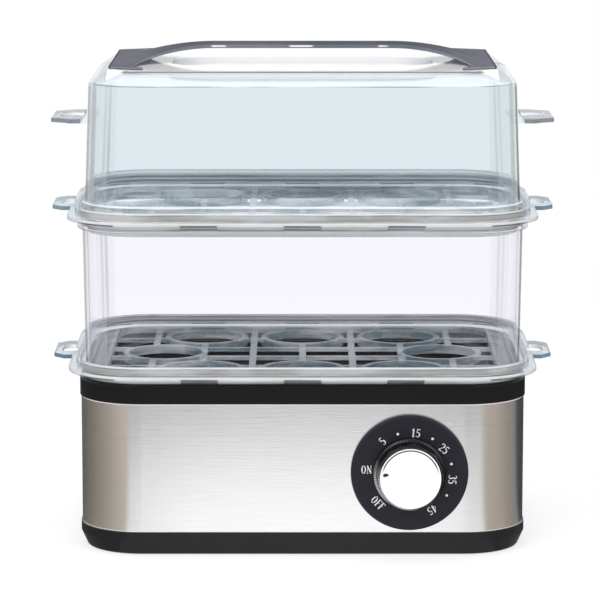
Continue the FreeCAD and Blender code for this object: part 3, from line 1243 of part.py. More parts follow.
# Handle: a strap with broad feet whose narrow arch bridges the finger well
def lidHandle():
    piece = Piece("lid_handle", z=lidTop)
    side = piece.sketch("XZ_Plane", "waistHalfDepth")
    footTop, barBottom = num("handleFoot"), num("handleRise")
    barTop = num("handleRise + handleThickness")
    reach, spring, flat = num("handleReach"), num("handleSpring"), num("handleFlat")
    upperSpring = spring - num("handleThickness / 2")

    def arc(x, low, high, mirrored):
        run, rise = x - flat, high - low
        radius = (run ** 2 + rise ** 2) / (2 * rise)
        span = math.asin(run / radius)
        if mirrored:
            middle = Part.Circle(Vector(flat, high - radius, 0), Vector(0, 0, 1), radius)
            return Part.ArcOfCircle(middle, math.pi / 2 - span, math.pi / 2)
        middle = Part.Circle(Vector(-flat, high - radius, 0), Vector(0, 0, 1), radius)
        return Part.ArcOfCircle(middle, math.pi / 2, math.pi / 2 + span)

    side.addGeometry(Part.LineSegment(Vector(-reach, 0, 0), Vector(-spring, 0, 0)))
    side.addGeometry(arc(spring, 0, barBottom, False))
    side.addGeometry(Part.LineSegment(Vector(-flat, barBottom, 0), Vector(flat, barBottom, 0)))
    side.addGeometry(arc(spring, 0, barBottom, True))
    side.addGeometry(Part.LineSegment(Vector(spring, 0, 0), Vector(reach, 0, 0)))
    side.addGeometry(Part.LineSegment(Vector(reach, 0, 0), Vector(reach, footTop, 0)))
    side.addGeometry(Part.LineSegment(Vector(reach, footTop, 0), Vector(upperSpring, footTop, 0)))
    side.addGeometry(arc(upperSpring, footTop, barTop, True))
    side.addGeometry(Part.LineSegment(Vector(flat, barTop, 0), Vector(-flat, barTop, 0)))
    side.addGeometry(arc(upperSpring, footTop, barTop, False))
    side.addGeometry(Part.LineSegment(Vector(-upperSpring, footTop, 0), Vector(-reach, footTop, 0)))
    side.addGeometry(Part.LineSegment(Vector(-reach, footTop, 0), Vector(-reach, 0, 0)))
    joints = [(0, 2, 1, 2), (2, 2, 3, 2), (3, 1, 4, 1), (4, 2, 5, 1), (5, 2, 6, 1), (6, 2, 7, 1),
              (8, 2, 9, 1), (9, 2, 10, 1), (10, 2, 11, 1), (11, 2, 0, 1)]
    for first, firstPoint, second, secondPoint in joints:
        side.addConstraint(Sketcher.Constraint("Coincident", first, firstPoint, second, secondPoint))
    side.addConstraint(Sketcher.Constraint("Tangent", 2, 1, 1, 1))
    side.addConstraint(Sketcher.Constraint("Tangent", 8, 1, 7, 2))
    for index in (0, 4):
        pin(side, index, 2 if index == 0 else 1, ("-" if index == 0 else "") + "handleSpring", "0")
    pin(side, 0, 1, "-handleReach", "0")
    pin(side, 4, 2, "handleReach", "0")
    pin(side, 2, 1, "-handleFlat", "handleRise")
    pin(side, 2, 2, "handleFlat", "handleRise")
    pin(side, 6, 1, "handleReach", "handleFoot")
    pin(side, 6, 2, "handleSpring - handleThickness / 2", "handleFoot")
    pin(side, 8, 1, "handleFlat", "handleRise + handleThickness")
    pin(side, 8, 2, "-handleFlat", "handleRise + handleThickness")
    pin(side, 10, 1, "handleThickness / 2 - handleSpring", "handleFoot")
    pin(side, 10, 2, "-handleReach", "handleFoot")
    piece.pad(side, "2 * waistHalfDepth", reverse=True)

    waist = piece.sketch()
    run, rise = num("handleSpring - handleFlat"), num("waistHalfDepth - barHalfDepth")
    radius = (run ** 2 + rise ** 2) / (2 * rise)
    span = math.asin(run / radius) if rise < radius else math.pi - math.asin(run / radius)
    low, mid, deep = num("barHalfDepth"), num("waistHalfDepth"), num("waistHalfDepth + cutClear")
    waist.addGeometry(Part.LineSegment(Vector(-flat, low, 0), Vector(flat, low, 0)))
    around = Part.Circle(Vector(flat, low + radius, 0), Vector(0, 0, 1), radius)
    waist.addGeometry(Part.ArcOfCircle(around, -math.pi / 2, -math.pi / 2 + span))
    waist.addGeometry(Part.LineSegment(Vector(spring, mid, 0), Vector(spring, deep, 0)))
    waist.addGeometry(Part.LineSegment(Vector(spring, deep, 0), Vector(-spring, deep, 0)))
    waist.addGeometry(Part.LineSegment(Vector(-spring, deep, 0), Vector(-spring, mid, 0)))
    around = Part.Circle(Vector(-flat, low + radius, 0), Vector(0, 0, 1), radius)
    waist.addGeometry(Part.ArcOfCircle(around, -math.pi / 2 - span, -math.pi / 2))
    for first, second in ((1, 2), (2, 3), (3, 4), (4, 5), (5, 0)):
        waist.addConstraint(Sketcher.Constraint("Coincident", first, 2, second, 1))
    waist.addConstraint(Sketcher.Constraint("Tangent", 0, 2, 1, 1))
    pin(waist, 0, 1, "-handleFlat", "barHalfDepth")
    pin(waist, 0, 2, "handleFlat", "barHalfDepth")
    pin(waist, 2, 1, "handleSpring", "waistHalfDepth")
    pin(waist, 2, 2, "handleSpring", "waistHalfDepth + cutClear")
    pin(waist, 3, 2, "-handleSpring", "waistHalfDepth + cutClear")
    pin(waist, 5, 1, "-handleSpring", "waistHalfDepth")
    cut = piece.pocket(waist, "handleRise + handleThickness + cutClear", reverse=True)
    piece.mirror([cut], "XZ_Plane")
    feet = piece.sketch()
    half = [("handleReach", "(handleDepth / 2 - footCut)"),
            ("(handleSpring - footNotch)", "(handleDepth / 2)"), ("handleSpring", "waistHalfDepth")]
    for sideX in ("", "-"):
        rear = [(sideX + x, y) for x, y in half]
        front = [(sideX + x, f"-{y}") for x, y in half[::-1]]
        polygon(feet, rear + front)
    piece.pad(feet, "handleFoot")
    rivets = piece.sketch()
    for x, y in corners("(handleReach - rivetInset)", "rivetSpread"):
        circle(rivets, x, y, "rivetRadius")
    piece.pocket(rivets, "handleFoot - rivetSkin", reverse=True)
    done("lid_handle", piece)
    headStart = f"{lidTop} - coverWall - rivetHeadHeight"
    group("handle_rivets", "XY", [(headStart, "rivetHeadHeight", "rivetHead"),
                                  (f"{lidTop} - coverWall", "coverWall + handleFoot - rivetSkin",
                                   "rivetRadius")],
          corners("(handleReach - rivetInset)", "rivetSpread"))


baseShell()
steelBand()
topRing()
waterPan()
heater()
safetyParts()
timer()
dialPlate()
knobParts()
mainsInlet()
feetAndScrews()
leads()
eggTray("lower_egg_tray", lowerPlate)
middleChamber()
eggTray("upper_egg_tray", upperPlate)
lid()
lidHandle()
doc.recompute()

for item in doc.Objects:
    if "Invalid" in item.State or "Error" in item.State:
        raise RuntimeError(f"{item.Name} did not recompute: {item.State}")

os.makedirs("parts", exist_ok=True)
box = FreeCAD.BoundBox()
for label, made in kept:
    shape = made.Shape
    if shape.isNull() or not shape.isValid():
        raise RuntimeError(f"{label} has no valid shape")
    shape.exportStep(os.path.join("parts", f"{label}.step"))
    box.add(shape.BoundBox)
print(len(kept), "nodes", "box",
      [round(value, 3) for value in (box.XMin, box.YMin, box.ZMin, box.XMax, box.YMax, box.ZMax)])
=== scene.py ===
import json
import math

import bpy
import numpy as np
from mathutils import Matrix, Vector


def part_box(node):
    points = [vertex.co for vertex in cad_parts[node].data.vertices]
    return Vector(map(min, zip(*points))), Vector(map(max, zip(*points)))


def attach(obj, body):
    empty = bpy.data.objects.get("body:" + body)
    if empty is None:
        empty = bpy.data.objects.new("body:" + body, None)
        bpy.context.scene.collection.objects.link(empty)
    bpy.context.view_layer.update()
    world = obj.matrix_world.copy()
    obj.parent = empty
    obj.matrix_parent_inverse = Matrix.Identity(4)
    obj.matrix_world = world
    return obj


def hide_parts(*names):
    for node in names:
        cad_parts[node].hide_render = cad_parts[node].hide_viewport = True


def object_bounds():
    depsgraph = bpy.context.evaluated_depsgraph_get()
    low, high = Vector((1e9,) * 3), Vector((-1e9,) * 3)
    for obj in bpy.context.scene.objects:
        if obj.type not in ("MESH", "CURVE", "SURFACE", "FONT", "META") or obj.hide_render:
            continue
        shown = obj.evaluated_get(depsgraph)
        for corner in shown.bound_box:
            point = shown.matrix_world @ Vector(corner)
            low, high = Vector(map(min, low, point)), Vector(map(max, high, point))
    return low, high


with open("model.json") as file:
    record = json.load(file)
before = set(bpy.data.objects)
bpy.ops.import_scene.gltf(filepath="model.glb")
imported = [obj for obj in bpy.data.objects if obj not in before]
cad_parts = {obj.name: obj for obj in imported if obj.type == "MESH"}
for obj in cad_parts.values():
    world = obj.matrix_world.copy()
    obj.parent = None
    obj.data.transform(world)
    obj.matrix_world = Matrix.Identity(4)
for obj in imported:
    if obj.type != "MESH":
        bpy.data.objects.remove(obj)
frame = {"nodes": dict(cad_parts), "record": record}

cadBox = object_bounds()
nodes = frame["nodes"]
mm = 0.001
print("stage: frame loaded,", len(nodes), "nodes")


# Shader writing


class Val:
    # a number, colour or vector that varies over a surface; each operator adds one Math node
    def __init__(self, tree, socket):
        self.tree = tree
        self.socket = socket

    def math(self, operation, *others, clamp=False, first=None):
        node = self.tree.nodes.new("ShaderNodeMath")
        node.operation = operation
        node.use_clamp = clamp
        values = [self] + list(others) if first is None else [first, self]
        for place, value in zip(node.inputs, values):
            if isinstance(value, Val):
                self.tree.links.new(value.socket, place)
            else:
                place.default_value = value
        return Val(self.tree, node.outputs[0])

    def __add__(self, other): return self.math("ADD", other)
    def __radd__(self, other): return self.math("ADD", other)
    def __sub__(self, other): return self.math("SUBTRACT", other)
    def __rsub__(self, other): return self.math("SUBTRACT", first=other)
    def __mul__(self, other): return self.math("MULTIPLY", other)
    def __rmul__(self, other): return self.math("MULTIPLY", other)
    def __truediv__(self, other): return self.math("DIVIDE", other)
    def __rtruediv__(self, other): return self.math("DIVIDE", first=other)
    def clamped(self): return self.math("ADD", 0.0, clamp=True)


class Finish:
    # a new material by its name, or a world: node() takes the type, then settings, of which stops fill a
    # colour ramp, then values or links for its sockets by name
    def __init__(self, owner):
        self.owner = bpy.data.materials.new(owner) if isinstance(owner, str) else owner
        self.owner.use_nodes = True
        self.tree = self.owner.node_tree
        self.tree.nodes.clear()
        self.place = self.node("ShaderNodeTexCoord", out="Object")

    def node(self, kind, settings=None, out=0, **values):
        made = self.tree.nodes.new(kind)
        for key, value in (settings or {}).items():
            if key == "stops":
                self.fill(made.color_ramp.elements, value)
            else:
                setattr(made, key, value)
        for key, value in values.items():
            socket = self.find(made.inputs, key)
            if isinstance(value, Val):
                self.tree.links.new(value.socket, socket)
            else:
                socket.default_value = value
        if not made.outputs:
            return None
        return Val(self.tree, self.find(made.outputs, out) if isinstance(out, str) else made.outputs[out])

    def find(self, sockets, key):
        wanted = (key.lower(), key.replace("_", " ").lower())
        exact = [socket for socket in sockets if socket.identifier.lower() in wanted]
        named = [socket for socket in sockets if socket.name.lower() in wanted and socket.enabled]
        return (exact or named)[0]

    def fill(self, elements, stops):
        elements.remove(elements[-1])
        for index, (spot, colour) in enumerate(stops):
            element = elements[0] if index == 0 else elements.new(spot)
            element.position, element.color = spot, shadeOf(colour)

    def noise(self, scale, detail=2.0, roughness=0.5, stretch=None):
        place = self.place
        if stretch:
            place = self.node("ShaderNodeMapping", Vector=place, Scale=stretch, out="Vector")
        return self.node("ShaderNodeTexNoise", Vector=place, Scale=scale, Detail=detail, Roughness=roughness,
                         out="Fac")

    def ramp(self, value, low, high):
        return self.node("ShaderNodeMapRange", {"interpolation_type": "SMOOTHSTEP"}, Value=value,
                         From_Min=low, From_Max=high, out="Result")

    def blend(self, share, first, second):
        return self.node("ShaderNodeMix", {"data_type": "RGBA"}, Factor_Float=share, A_Color=shadeOf(first),
                         B_Color=shadeOf(second), out="Result_Color")

    def axis(self, name):
        return self.node("ShaderNodeSeparateXYZ", Vector=self.place, out=name)

    def upright(self):
        # one on faces that stand, nothing on faces that lie flat
        normal = self.node("ShaderNodeNewGeometry", out="Normal")
        up = self.node("ShaderNodeSeparateXYZ", Vector=normal, out="Z").math("ABSOLUTE")
        return 1.0 - self.ramp(up, 0.55, 0.75)

    def beyond(self, value, limit, soft=0.2, unit=mm):
        # a soft step from nothing to one at the limit, which is in millimetres, as in the next two
        return self.ramp(value, (limit - soft) * unit, (limit + soft) * unit)

    def within(self, value, limit, soft=0.2):
        return 1.0 - self.beyond(value, limit, soft)

    def near(self, value, middle, half, soft=0.15):
        return self.within((value - middle * mm).math("ABSOLUTE"), half, soft)

    def stops(self, value, colours, unit=1.0):
        # a colour at each of some places along the value; between two places the colours run together
        low, high = colours[0][0], colours[-1][0]
        along = self.node("ShaderNodeMapRange", Value=value, From_Min=low * unit, From_Max=high * unit,
                          out="Result")
        spots = [((place - low) / (high - low), colour) for place, colour in colours]
        return self.node("ShaderNodeValToRGB", {"stops": spots}, Fac=along, out="Color")

    def paint(self, base, marks):
        # lays marks of (mask, colour, solid share) over a base of (colour, solid share)
        shade, share = base
        for mask, colour, solid in marks:
            shade = self.blend(mask, shade, colour)
            share = share + mask * (solid - share)
        return shade, share

    def rounded(self, radius):
        return self.node("ShaderNodeBevel", {"samples": 4}, Radius=radius, out="Normal")

    def bump(self, height, strength, distance, edge=None):
        under = {"Normal": edge} if edge else {}
        return self.node("ShaderNodeBump", Height=height, Strength=strength, Distance=distance, out="Normal",
                         **under)

    def done(self, shader, output="ShaderNodeOutputMaterial"):
        self.node(output, Surface=shader)
        return self.owner


def rgb(red, green, blue):
    return (red, green, blue, 1.0)


def grey(level):
    # the shader's brightness for a grey given as 0 to 255
    part = level / 255.0
    return ((part + 0.055) / 1.055) ** 2.4 if part > 0.04045 else part / 12.92


def shadeOf(colour):
    # one number is a brightness, three are 0 to 255, and anything else is a shader colour already
    if isinstance(colour, float):
        return rgb(colour, colour, colour)
    if isinstance(colour, tuple) and len(colour) == 3:
        return rgb(*[grey(level) for level in colour])
    return colour


def tint(colour, factor):
    return rgb(*[min(1.0, channel * factor) for channel in shadeOf(colour)[:3]])


black = rgb(0.0, 0.0, 0.0)
white = rgb(1.0, 1.0, 1.0)


# moulded plastic: slow noise drifts the colour a little, fine noise gives the grain of the mould, and the
# upper half of a middle noise, times three, makes faint rub marks in the roughness
def mouldedPlastic(name, colour, rough=0.35, grain=0.05, gloss=0.4, drift=0.12, edge=0.3 * mm):
    f = Finish(name)
    slow = f.noise(18.0, 3.0)
    fine = f.noise(1900.0, 2.0)
    rubbed = (f.noise(140.0, 5.0, 0.7) - 0.52).clamped() * 3.0
    shade = f.blend(slow, tint(colour, 1 - drift), tint(colour, 1 + drift))
    return f.done(f.node("ShaderNodeBsdfPrincipled", Base_Color=shade, Specular_IOR_Level=gloss,
                         Roughness=(rough + rubbed * 0.1 + fine * 0.05).clamped(),
                         Normal=f.bump(fine, grain, 0.0002, f.rounded(edge))))


# plain metal: roughness is a level plus slow and fine noise, and the fine noise also raises the surface
def plainMetal(name, colour, rough=0.25, grain=0.05, scale=900.0, edge=0.2 * mm):
    f = Finish(name)
    slow = f.noise(30.0, 3.0)
    fine = f.noise(scale, 3.0, 0.6)
    shade = f.blend(slow, tint(colour, 0.9), tint(colour, 1.06))
    return f.done(f.node("ShaderNodeBsdfPrincipled", Base_Color=shade, Metallic=1.0,
                         Roughness=(rough + slow * 0.06 + fine * 0.08).clamped(),
                         Normal=f.bump(fine, grain, 0.0001, f.rounded(edge))))


# brushed steel: noise squeezed in Z runs as fine level lines round the band; height is 0.7 of the fine
# lines and 0.3 of the longer ones, shade and roughness follow the same lines, and a thin line at each of the
# two rims is a painted white highlight, not metal there
steelLook = {
    "lines": (70.0, 70.0, 5200.0), "runs": (30.0, 30.0, 1500.0), "lineShare": 0.7, "runShare": 0.3,
    "cloud": 0.3, "dark": rgb(0.95, 0.95, 0.95), "rough": 0.15, "relief": 0.12, "edge": 0.45 * mm,
    # height, half width and softness of each rim's painted highlight line, in millimetres
    "rimHighlightAbove": (64.75, 0.2, 0.1), "rimHighlightBelow": (10.2, 0.12, 0.08), "rimHighlightShare": 0.9,
}


def brushedSteel(name):
    f, look = Finish(name), steelLook
    lines = f.noise(1.0, 3.0, 0.6, stretch=look["lines"])
    runs = f.noise(1.0, 2.0, 0.5, stretch=look["runs"])
    cloud = f.noise(12.0, 3.0)
    both = lines * look["lineShare"] + runs * look["runShare"]
    shade = f.blend(f.ramp(both + (cloud - 0.5) * look["cloud"], 0.3, 0.7), look["dark"], white)
    z = f.axis("Z")
    # painted highlights: a white, non-metal line at each of the two rims
    rimHighlights = (f.near(z, *look["rimHighlightAbove"]) + f.near(z, *look["rimHighlightBelow"])) * look["rimHighlightShare"]
    rough = (look["rough"] + lines * 0.08 + cloud * 0.03).clamped()
    return f.done(f.node("ShaderNodeBsdfPrincipled", Base_Color=f.blend(rimHighlights, shade, white),
                         Metallic=1.0 - rimHighlights, Roughness=rough,
                         Normal=f.bump(both, look["relief"], 0.0003, f.rounded(look["edge"]))))


# clear plastic: most light goes straight through a faintly tinted pane; the solid share is haze plus part
# of the Fresnel mirror, and marks lay painted shade and painted highlights: the dark and bright lines that
# refraction shows at thick clear edges
def clearPlastic(name, through, body, haze=0.0, mirrorShare=0.9, rough=0.04, edge=0.35 * mm, marks=None,
                 gloss=0.5):
    f = Finish(name)
    wave = f.noise(45.0, 2.0)
    normal = f.bump(wave, 0.03, 0.0006, f.rounded(edge))
    mirror = f.node("ShaderNodeFresnel", IOR=1.46, Normal=normal, out="Fac")
    base = (f.blend(wave, tint(body, 0.94), tint(body, 1.04)), mirror * mirrorShare + haze)
    shade, share = f.paint(base, marks(f) if marks else [])
    solid = f.node("ShaderNodeBsdfPrincipled", Base_Color=shade, Roughness=(rough + wave * 0.03).clamped(),
                   IOR=1.5, Specular_IOR_Level=gloss, Normal=normal)
    passed = f.node("ShaderNodeBsdfTransparent", Color=through)
    return f.done(f.node("ShaderNodeMixShader", Fac=share.clamped(), Shader=passed, Shader_001=solid))


# Marks on the clear pieces, painted shade and painted highlights for the lines and bands that refraction
# shows in clear plastic: lengths are in millimetres, Y is taken from the middle of the stack, a place is
# given with its softness or as middle, half width and softness, and a colour is three numbers of 0 to 255
stackBehind = 4.2 * mm  # the stack's middle lies this far behind the middle of the CAD box
middleY = (cadBox[0][1] + cadBox[1][1]) / 2 + stackBehind

wallLook = {
    "front": (-43.5, 0.8), "bandSoft": 0.25, "line": (0.85, 0.6, 0.3),
    "leftShares": (0.55, 0.65), "rightShares": (0.42, 0.68), "rightMask": 0.8,
    "rear": (50.0, 1.2, 1.0), "rearInset": (5.0, 0.5), "rearShade": (140, 144, 150), "rearShare": 0.5,
}
# the hole's wall is painted near white, a painted light for the background seen through it
earLook = {"holeX": 105.4, "holeY": 11.5, "inner": (250, 251, 254), "innerShare": 0.9}


# corners of a clear wall, all painted shade for the refraction there: a grey band with a darker line down
# the left front corner, a beige band with a dark line down the right one, and a thin drifting line down each
# rear corner; inset is the way in from the side wall, which leans in by the slope
def paintedCornerShade(f, sizes):
    look, corner = wallLook, sizes["corner"]
    x, y, z = f.axis("X"), f.axis("Y") - middleY, f.axis("Z") - sizes["foot"]
    inset = sizes["halfX"] - x.math("ABSOLUTE") - z * corner["slope"]
    front, left = f.within(y, *look["front"]), f.within(x, 0.0)
    right = 1.0 - left
    edge = f.within(inset, corner["band"], look["bandSoft"])
    line = f.near(inset, *look["line"])
    drift = f.ramp(f.noise(16.0, 3.0, stretch=(1.0, 1.0, 0.6)), 0.35, 0.65)
    rear = f.near(y, *look["rear"]) * f.within(inset, *look["rearInset"])
    # painted shade: bands and lines down the clear wall's corners
    return [(rear * (drift * 0.4 + 0.5), look["rearShade"], look["rearShare"]),
            (edge * front * left, corner["leftShadeBand"], look["leftShares"][0]),
            (line * front * left, corner["leftShadeLine"], look["leftShares"][1]),
            (edge * front * right * look["rightMask"], corner["rightShadeBand"], look["rightShares"][0]),
            (line * front * right, corner["rightShadeLine"], look["rightShares"][1])], x, y, z


# level lines of painted shade and painted highlight: each row is height, half width, softness, colour and
# solid share
def levelMarks(f, z, rows):
    return [(f.near(z, height, half, soft), shade, share) for height, half, soft, shade, share in rows]


# standing faces of an ear: its outer edge takes the given colour as painted shade, and the wall of its hole
# is painted near white for the light that shows through the hole
def earMarks(f, x, y, standing, shade, share):
    hole = f.within(y.math("ABSOLUTE"), earLook["holeY"]) * f.within(x.math("ABSOLUTE"), earLook["holeX"])
    return [(standing * (1.0 - hole), shade, share),
            (standing * hole, earLook["inner"], earLook["innerShare"])]


trayLook = {
    "tier": 64.9, "plate": 77.5, "under": 20.0, "wobble": 0.5,
    # the lines are painted shade and painted highlights, given as height over the plate and grey
    "lines": [(-6.0, 205), (-4.4, 190), (-4.0, 120), (-3.6, 200), (-2.9, 215), (-2.5, 185), (-1.9, 170),
              (-1.6, 190), (-1.0, 212), (-0.3, 232), (0.0, 235), (0.3, 140), (0.9, 166), (2.3, 170),
              (2.7, 110), (3.0, 232), (3.9, 240)],  # height over the plate, grey
    "notchPitch": 43.2, "notchGap": 13.8, "notch": (-1.5, 0.4),
    "egg": (84.5, 56.5), "flange": (93.0, 3.0), "ear": 99.9,
}


# clear tray: standing faces carry level lines of painted shade and painted highlight by their height over
# the tray's plate, dashes of painted shadow sit at the notches, the ears' edges are the plastic's teal tint
# deepened by painted shade, and the egg floor inside is a paler aqua grey with streaks of painted reflection
def trayMarks(f):
    look = trayLook
    x, y, z = f.axis("X"), f.axis("Y") - middleY, f.axis("Z")
    side = x.math("ABSOLUTE")
    wobble = (f.noise(60.0, 3.0, stretch=(1.0, 0.3, 0.1)) - 0.5) * (look["wobble"] * mm)
    above = (z - (look["plate"] - look["under"]) * mm).math("FLOORED_MODULO", look["tier"] * mm)
    height = above - look["under"] * mm + wobble
    standing = f.upright()
    flat = 1.0 - standing
    shadeStripes = f.stops(height, [(place, grey(level)) for place, level in look["lines"]], mm)
    streaks = f.ramp(f.noise(30.0, 4.0, 0.6, stretch=(1.0, 1.0, 4.0)), 0.4, 0.62)
    along = x.math("FLOORED_MODULO", look["notchPitch"] * mm)
    notch = 1.0 - f.near(along, look["notchPitch"] / 2, look["notchGap"], 0.5)
    inside = f.within(side, look["egg"][0]) * f.within(y.math("ABSOLUTE"), look["egg"][1])
    ears = f.beyond(side, look["ear"])
    teal = f.blend(streaks, (74, 112, 126), (102, 138, 150))
    # painted shade and highlights: level lines, notch shadows, ear edges and pale reflection streaks inside
    return [(flat, (196, 204, 210), 0.28), (standing, shadeStripes, 0.8),
            (standing * streaks * 0.35, (238, 240, 244), 0.75),
            (notch * f.near(height, *look["notch"]) * standing, (88, 92, 92), 0.85),
            (f.beyond(side, *look["flange"]) * 0.7, (178, 192, 204), 0.5),
            (inside * standing, f.blend(streaks, (150, 168, 176), (252, 254, 255)), 0.42),
            (inside * flat, f.blend(streaks, (205, 216, 222), (252, 254, 255)), 0.34),
            (ears * flat, (200, 208, 220), 0.5)] + earMarks(f, x, y, ears * standing, teal, 0.92)


handleLook = {
    "foot": (55.0, 12.0), "bar": ((108, 112, 124), (124, 126, 138)),
    "feet": ((124, 127, 138), (142, 142, 153)), "topShade": 0.45,
    "sideEdge": (81.5, 0.7, 0.4), "lowEdge": (203.9, 0.3), "lowFront": -30.0, "edgeShade": (70, 70, 78),
    "glintY": (-9.5, 1.0, 0.5), "glintZ": (210.65, 0.35, 0.15), "glintShade": (232, 232, 236),
    "glints": ((-36.0, 3.0, 0.8), (-0.5, 5.0, 0.8), (36.0, 3.4, 0.8)),
}


# smoky handle: nearly solid lavender grey that drifts along the strap, with painted shade that darkens its
# flat faces, painted dark lines at its ends and its low front edge, and three painted glints on the bar's
# front edge
def handleMarks(f):
    look = handleLook
    x, y, z = f.axis("X"), f.axis("Y") - middleY, f.axis("Z")
    side = x.math("ABSOLUTE")
    cloud = f.ramp(f.noise(35.0, 3.0, stretch=(1.0, 0.4, 1.0)), 0.35, 0.65)
    foot = f.beyond(side, *look["foot"])
    dark, pale = (f.blend(foot, bar, feet) for bar, feet in zip(look["bar"], look["feet"]))
    shade = f.blend(cloud, dark, pale)
    # painted shade: flat faces darker than standing ones
    shade = f.blend(f.upright(), f.blend(look["topShade"], shade, black), shade)
    # painted shade: dark lines at the ends and the low front edge
    low = f.near(z, *look["lowEdge"]) * f.within(y, look["lowFront"])
    edge = (f.near(side, *look["sideEdge"]) + low).clamped()
    # painted glints: pale reflections on the bar's front edge
    first, second, third = (f.near(x, *glint) for glint in look["glints"])
    broken = f.ramp(f.noise(90.0, 2.0, stretch=(1.0, 0.3, 0.3)), 0.38, 0.5)
    where = f.near(y, *look["glintY"]) * f.near(z, *look["glintZ"]) * broken
    glints = (first + second + third).clamped() * where
    return [(1.0, shade, 0.9), (edge, look["edgeShade"], 0.95), (glints, look["glintShade"], 1.0)]


slotFinishes = {
    "black_plastic": lambda n: mouldedPlastic(n, rgb(0.011, 0.011, 0.013), 0.3, 0.06, 0.25),
    "brushed_band": brushedSteel,
    "black_ring": lambda n: mouldedPlastic(n, rgb(0.01, 0.01, 0.01), 0.26, 0.03, 0.12),
    "coated_pan": lambda n: mouldedPlastic(n, rgb(0.012, 0.012, 0.013), 0.42, 0.12, 0.3),
    "silicone": lambda n: mouldedPlastic(n, rgb(0.6, 0.6, 0.58), 0.55),
    "cast_aluminium": lambda n: plainMetal(n, rgb(0.72, 0.72, 0.73), 0.4, 0.2, 500.0),
    "element_sheath": lambda n: plainMetal(n, rgb(0.42, 0.4, 0.37), 0.42, 0.1),
    "nickel_pins": lambda n: plainMetal(n, rgb(0.75, 0.73, 0.68), 0.2),
    "zinc_steel": lambda n: plainMetal(n, rgb(0.7, 0.71, 0.73), 0.28),
    "ceramic": lambda n: mouldedPlastic(n, rgb(0.8, 0.78, 0.71), 0.7, 0.2),
    "aluminium_sheet": lambda n: plainMetal(n, rgb(0.78, 0.78, 0.79), 0.3),
    "phenolic": lambda n: mouldedPlastic(n, rgb(0.1, 0.045, 0.03), 0.3),
    "white_plastic": lambda n: mouldedPlastic(n, rgb(0.8, 0.8, 0.78), 0.35),
    "chromed_gong": lambda n: plainMetal(n, rgb(0.8, 0.8, 0.81), 0.1),
    "dial_black": lambda n: mouldedPlastic(n, rgb(0.012, 0.011, 0.018), 0.35, 0.03, 0.25),
    "knob_silver": lambda n: plainMetal(n, rgb(0.86, 0.86, 0.88), 0.06),
    "cap_chrome": lambda n: plainMetal(n, rgb(0.9, 0.9, 0.91), 0.06),
    "inlet_black": lambda n: mouldedPlastic(n, rgb(0.014, 0.014, 0.014), 0.45),
    "brass_blades": lambda n: plainMetal(n, rgb(0.78, 0.62, 0.34), 0.22),
    "foot_rubber": lambda n: mouldedPlastic(n, rgb(0.02, 0.02, 0.02), 0.75, 0.3),
    "lead_brown": lambda n: mouldedPlastic(n, rgb(0.16, 0.06, 0.03), 0.45),
    "lead_white": lambda n: mouldedPlastic(n, rgb(0.8, 0.8, 0.77), 0.5),
    "lead_blue": lambda n: mouldedPlastic(n, rgb(0.03, 0.12, 0.42), 0.45),
    "lead_green": lambda n: mouldedPlastic(n, rgb(0.3, 0.5, 0.06), 0.45),
    "tray_clear": lambda n: clearPlastic(n, rgb(0.962, 0.975, 0.98), (215, 221, 226), 0.03, 0.5,
                                         marks=trayMarks),
    "clear_plastic": lambda n: clearPlastic(n, rgb(0.93, 0.953, 0.967), (215, 222, 226)),
    "smoky_plastic": lambda n: clearPlastic(n, rgb(0.42, 0.42, 0.45), (120, 122, 132), 0.9, 0.0, 0.25,
                                            marks=handleMarks, gloss=0.0),
    "rivet_plastic": lambda n: mouldedPlastic(n, rgb(0.1, 0.1, 0.11), 0.2),
}
finishes = {slot: make(slot + "_finish") for slot, make in slotFinishes.items()}
for part in frame["record"]["subparts"]:
    dressed = nodes[part["node"]]
    dressed.data.materials.clear()
    dressed.data.materials.append(finishes[part["material_slot"]])
print("stage: finishes made,", len(finishes))


# Mesh writing: a part is its points and its faces, and a piece joins parts into one object


def gridPart(rows, closed=False):
    # rows of points, each row closed on itself; where the rows don't meet end to end, both ends are capped
    count, around = rows.shape[:2]
    spots = np.arange(count * around).reshape(count, around)
    low, high = (spots, np.roll(spots, -1, axis=0)) if closed else (spots[:-1], spots[1:])
    faces = np.stack([low, np.roll(low, -1, axis=1), np.roll(high, -1, axis=1), high], axis=-1)
    faces = faces.reshape(-1, 4).tolist()
    if not closed:
        faces += [spots[0][::-1].tolist(), spots[-1].tolist()]
    points = rows.reshape(-1, 3)
    return points, faces if volume(points, faces) > 0 else [face[::-1] for face in faces]


def volume(points, faces):
    total = 0.0
    for corners in {len(face) for face in faces}:
        fan = np.array([face for face in faces if len(face) == corners])
        first = points[fan[:, 0]]
        for step in range(1, corners - 1):
            cross = np.cross(points[fan[:, step]], points[fan[:, step + 1]])
            total += float((first * cross).sum()) / 6.0
    return total


def addPiece(name, parts, body, slot, hides=(), sharp=40.0, finish=None):
    points, faces = [], []
    for partPoints, partFaces in parts:
        start = sum(len(block) for block in points)
        points.append(partPoints)
        faces += [[start + corner for corner in face] for face in partFaces]
    mesh = bpy.data.meshes.new(name)
    mesh.from_pydata(np.concatenate(points).tolist(), [], faces)
    mesh.polygons.foreach_set("use_smooth", [True] * len(mesh.polygons))
    mesh.set_sharp_from_angle(angle=math.radians(sharp))
    mesh.materials.append(finish or finishes[slot])
    made = bpy.data.objects.new(name, mesh)
    bpy.context.scene.collection.objects.link(made)
    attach(made, body)
    if hides:
        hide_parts(*hides)
    print("stage:", name, len(faces), "faces")
    return made


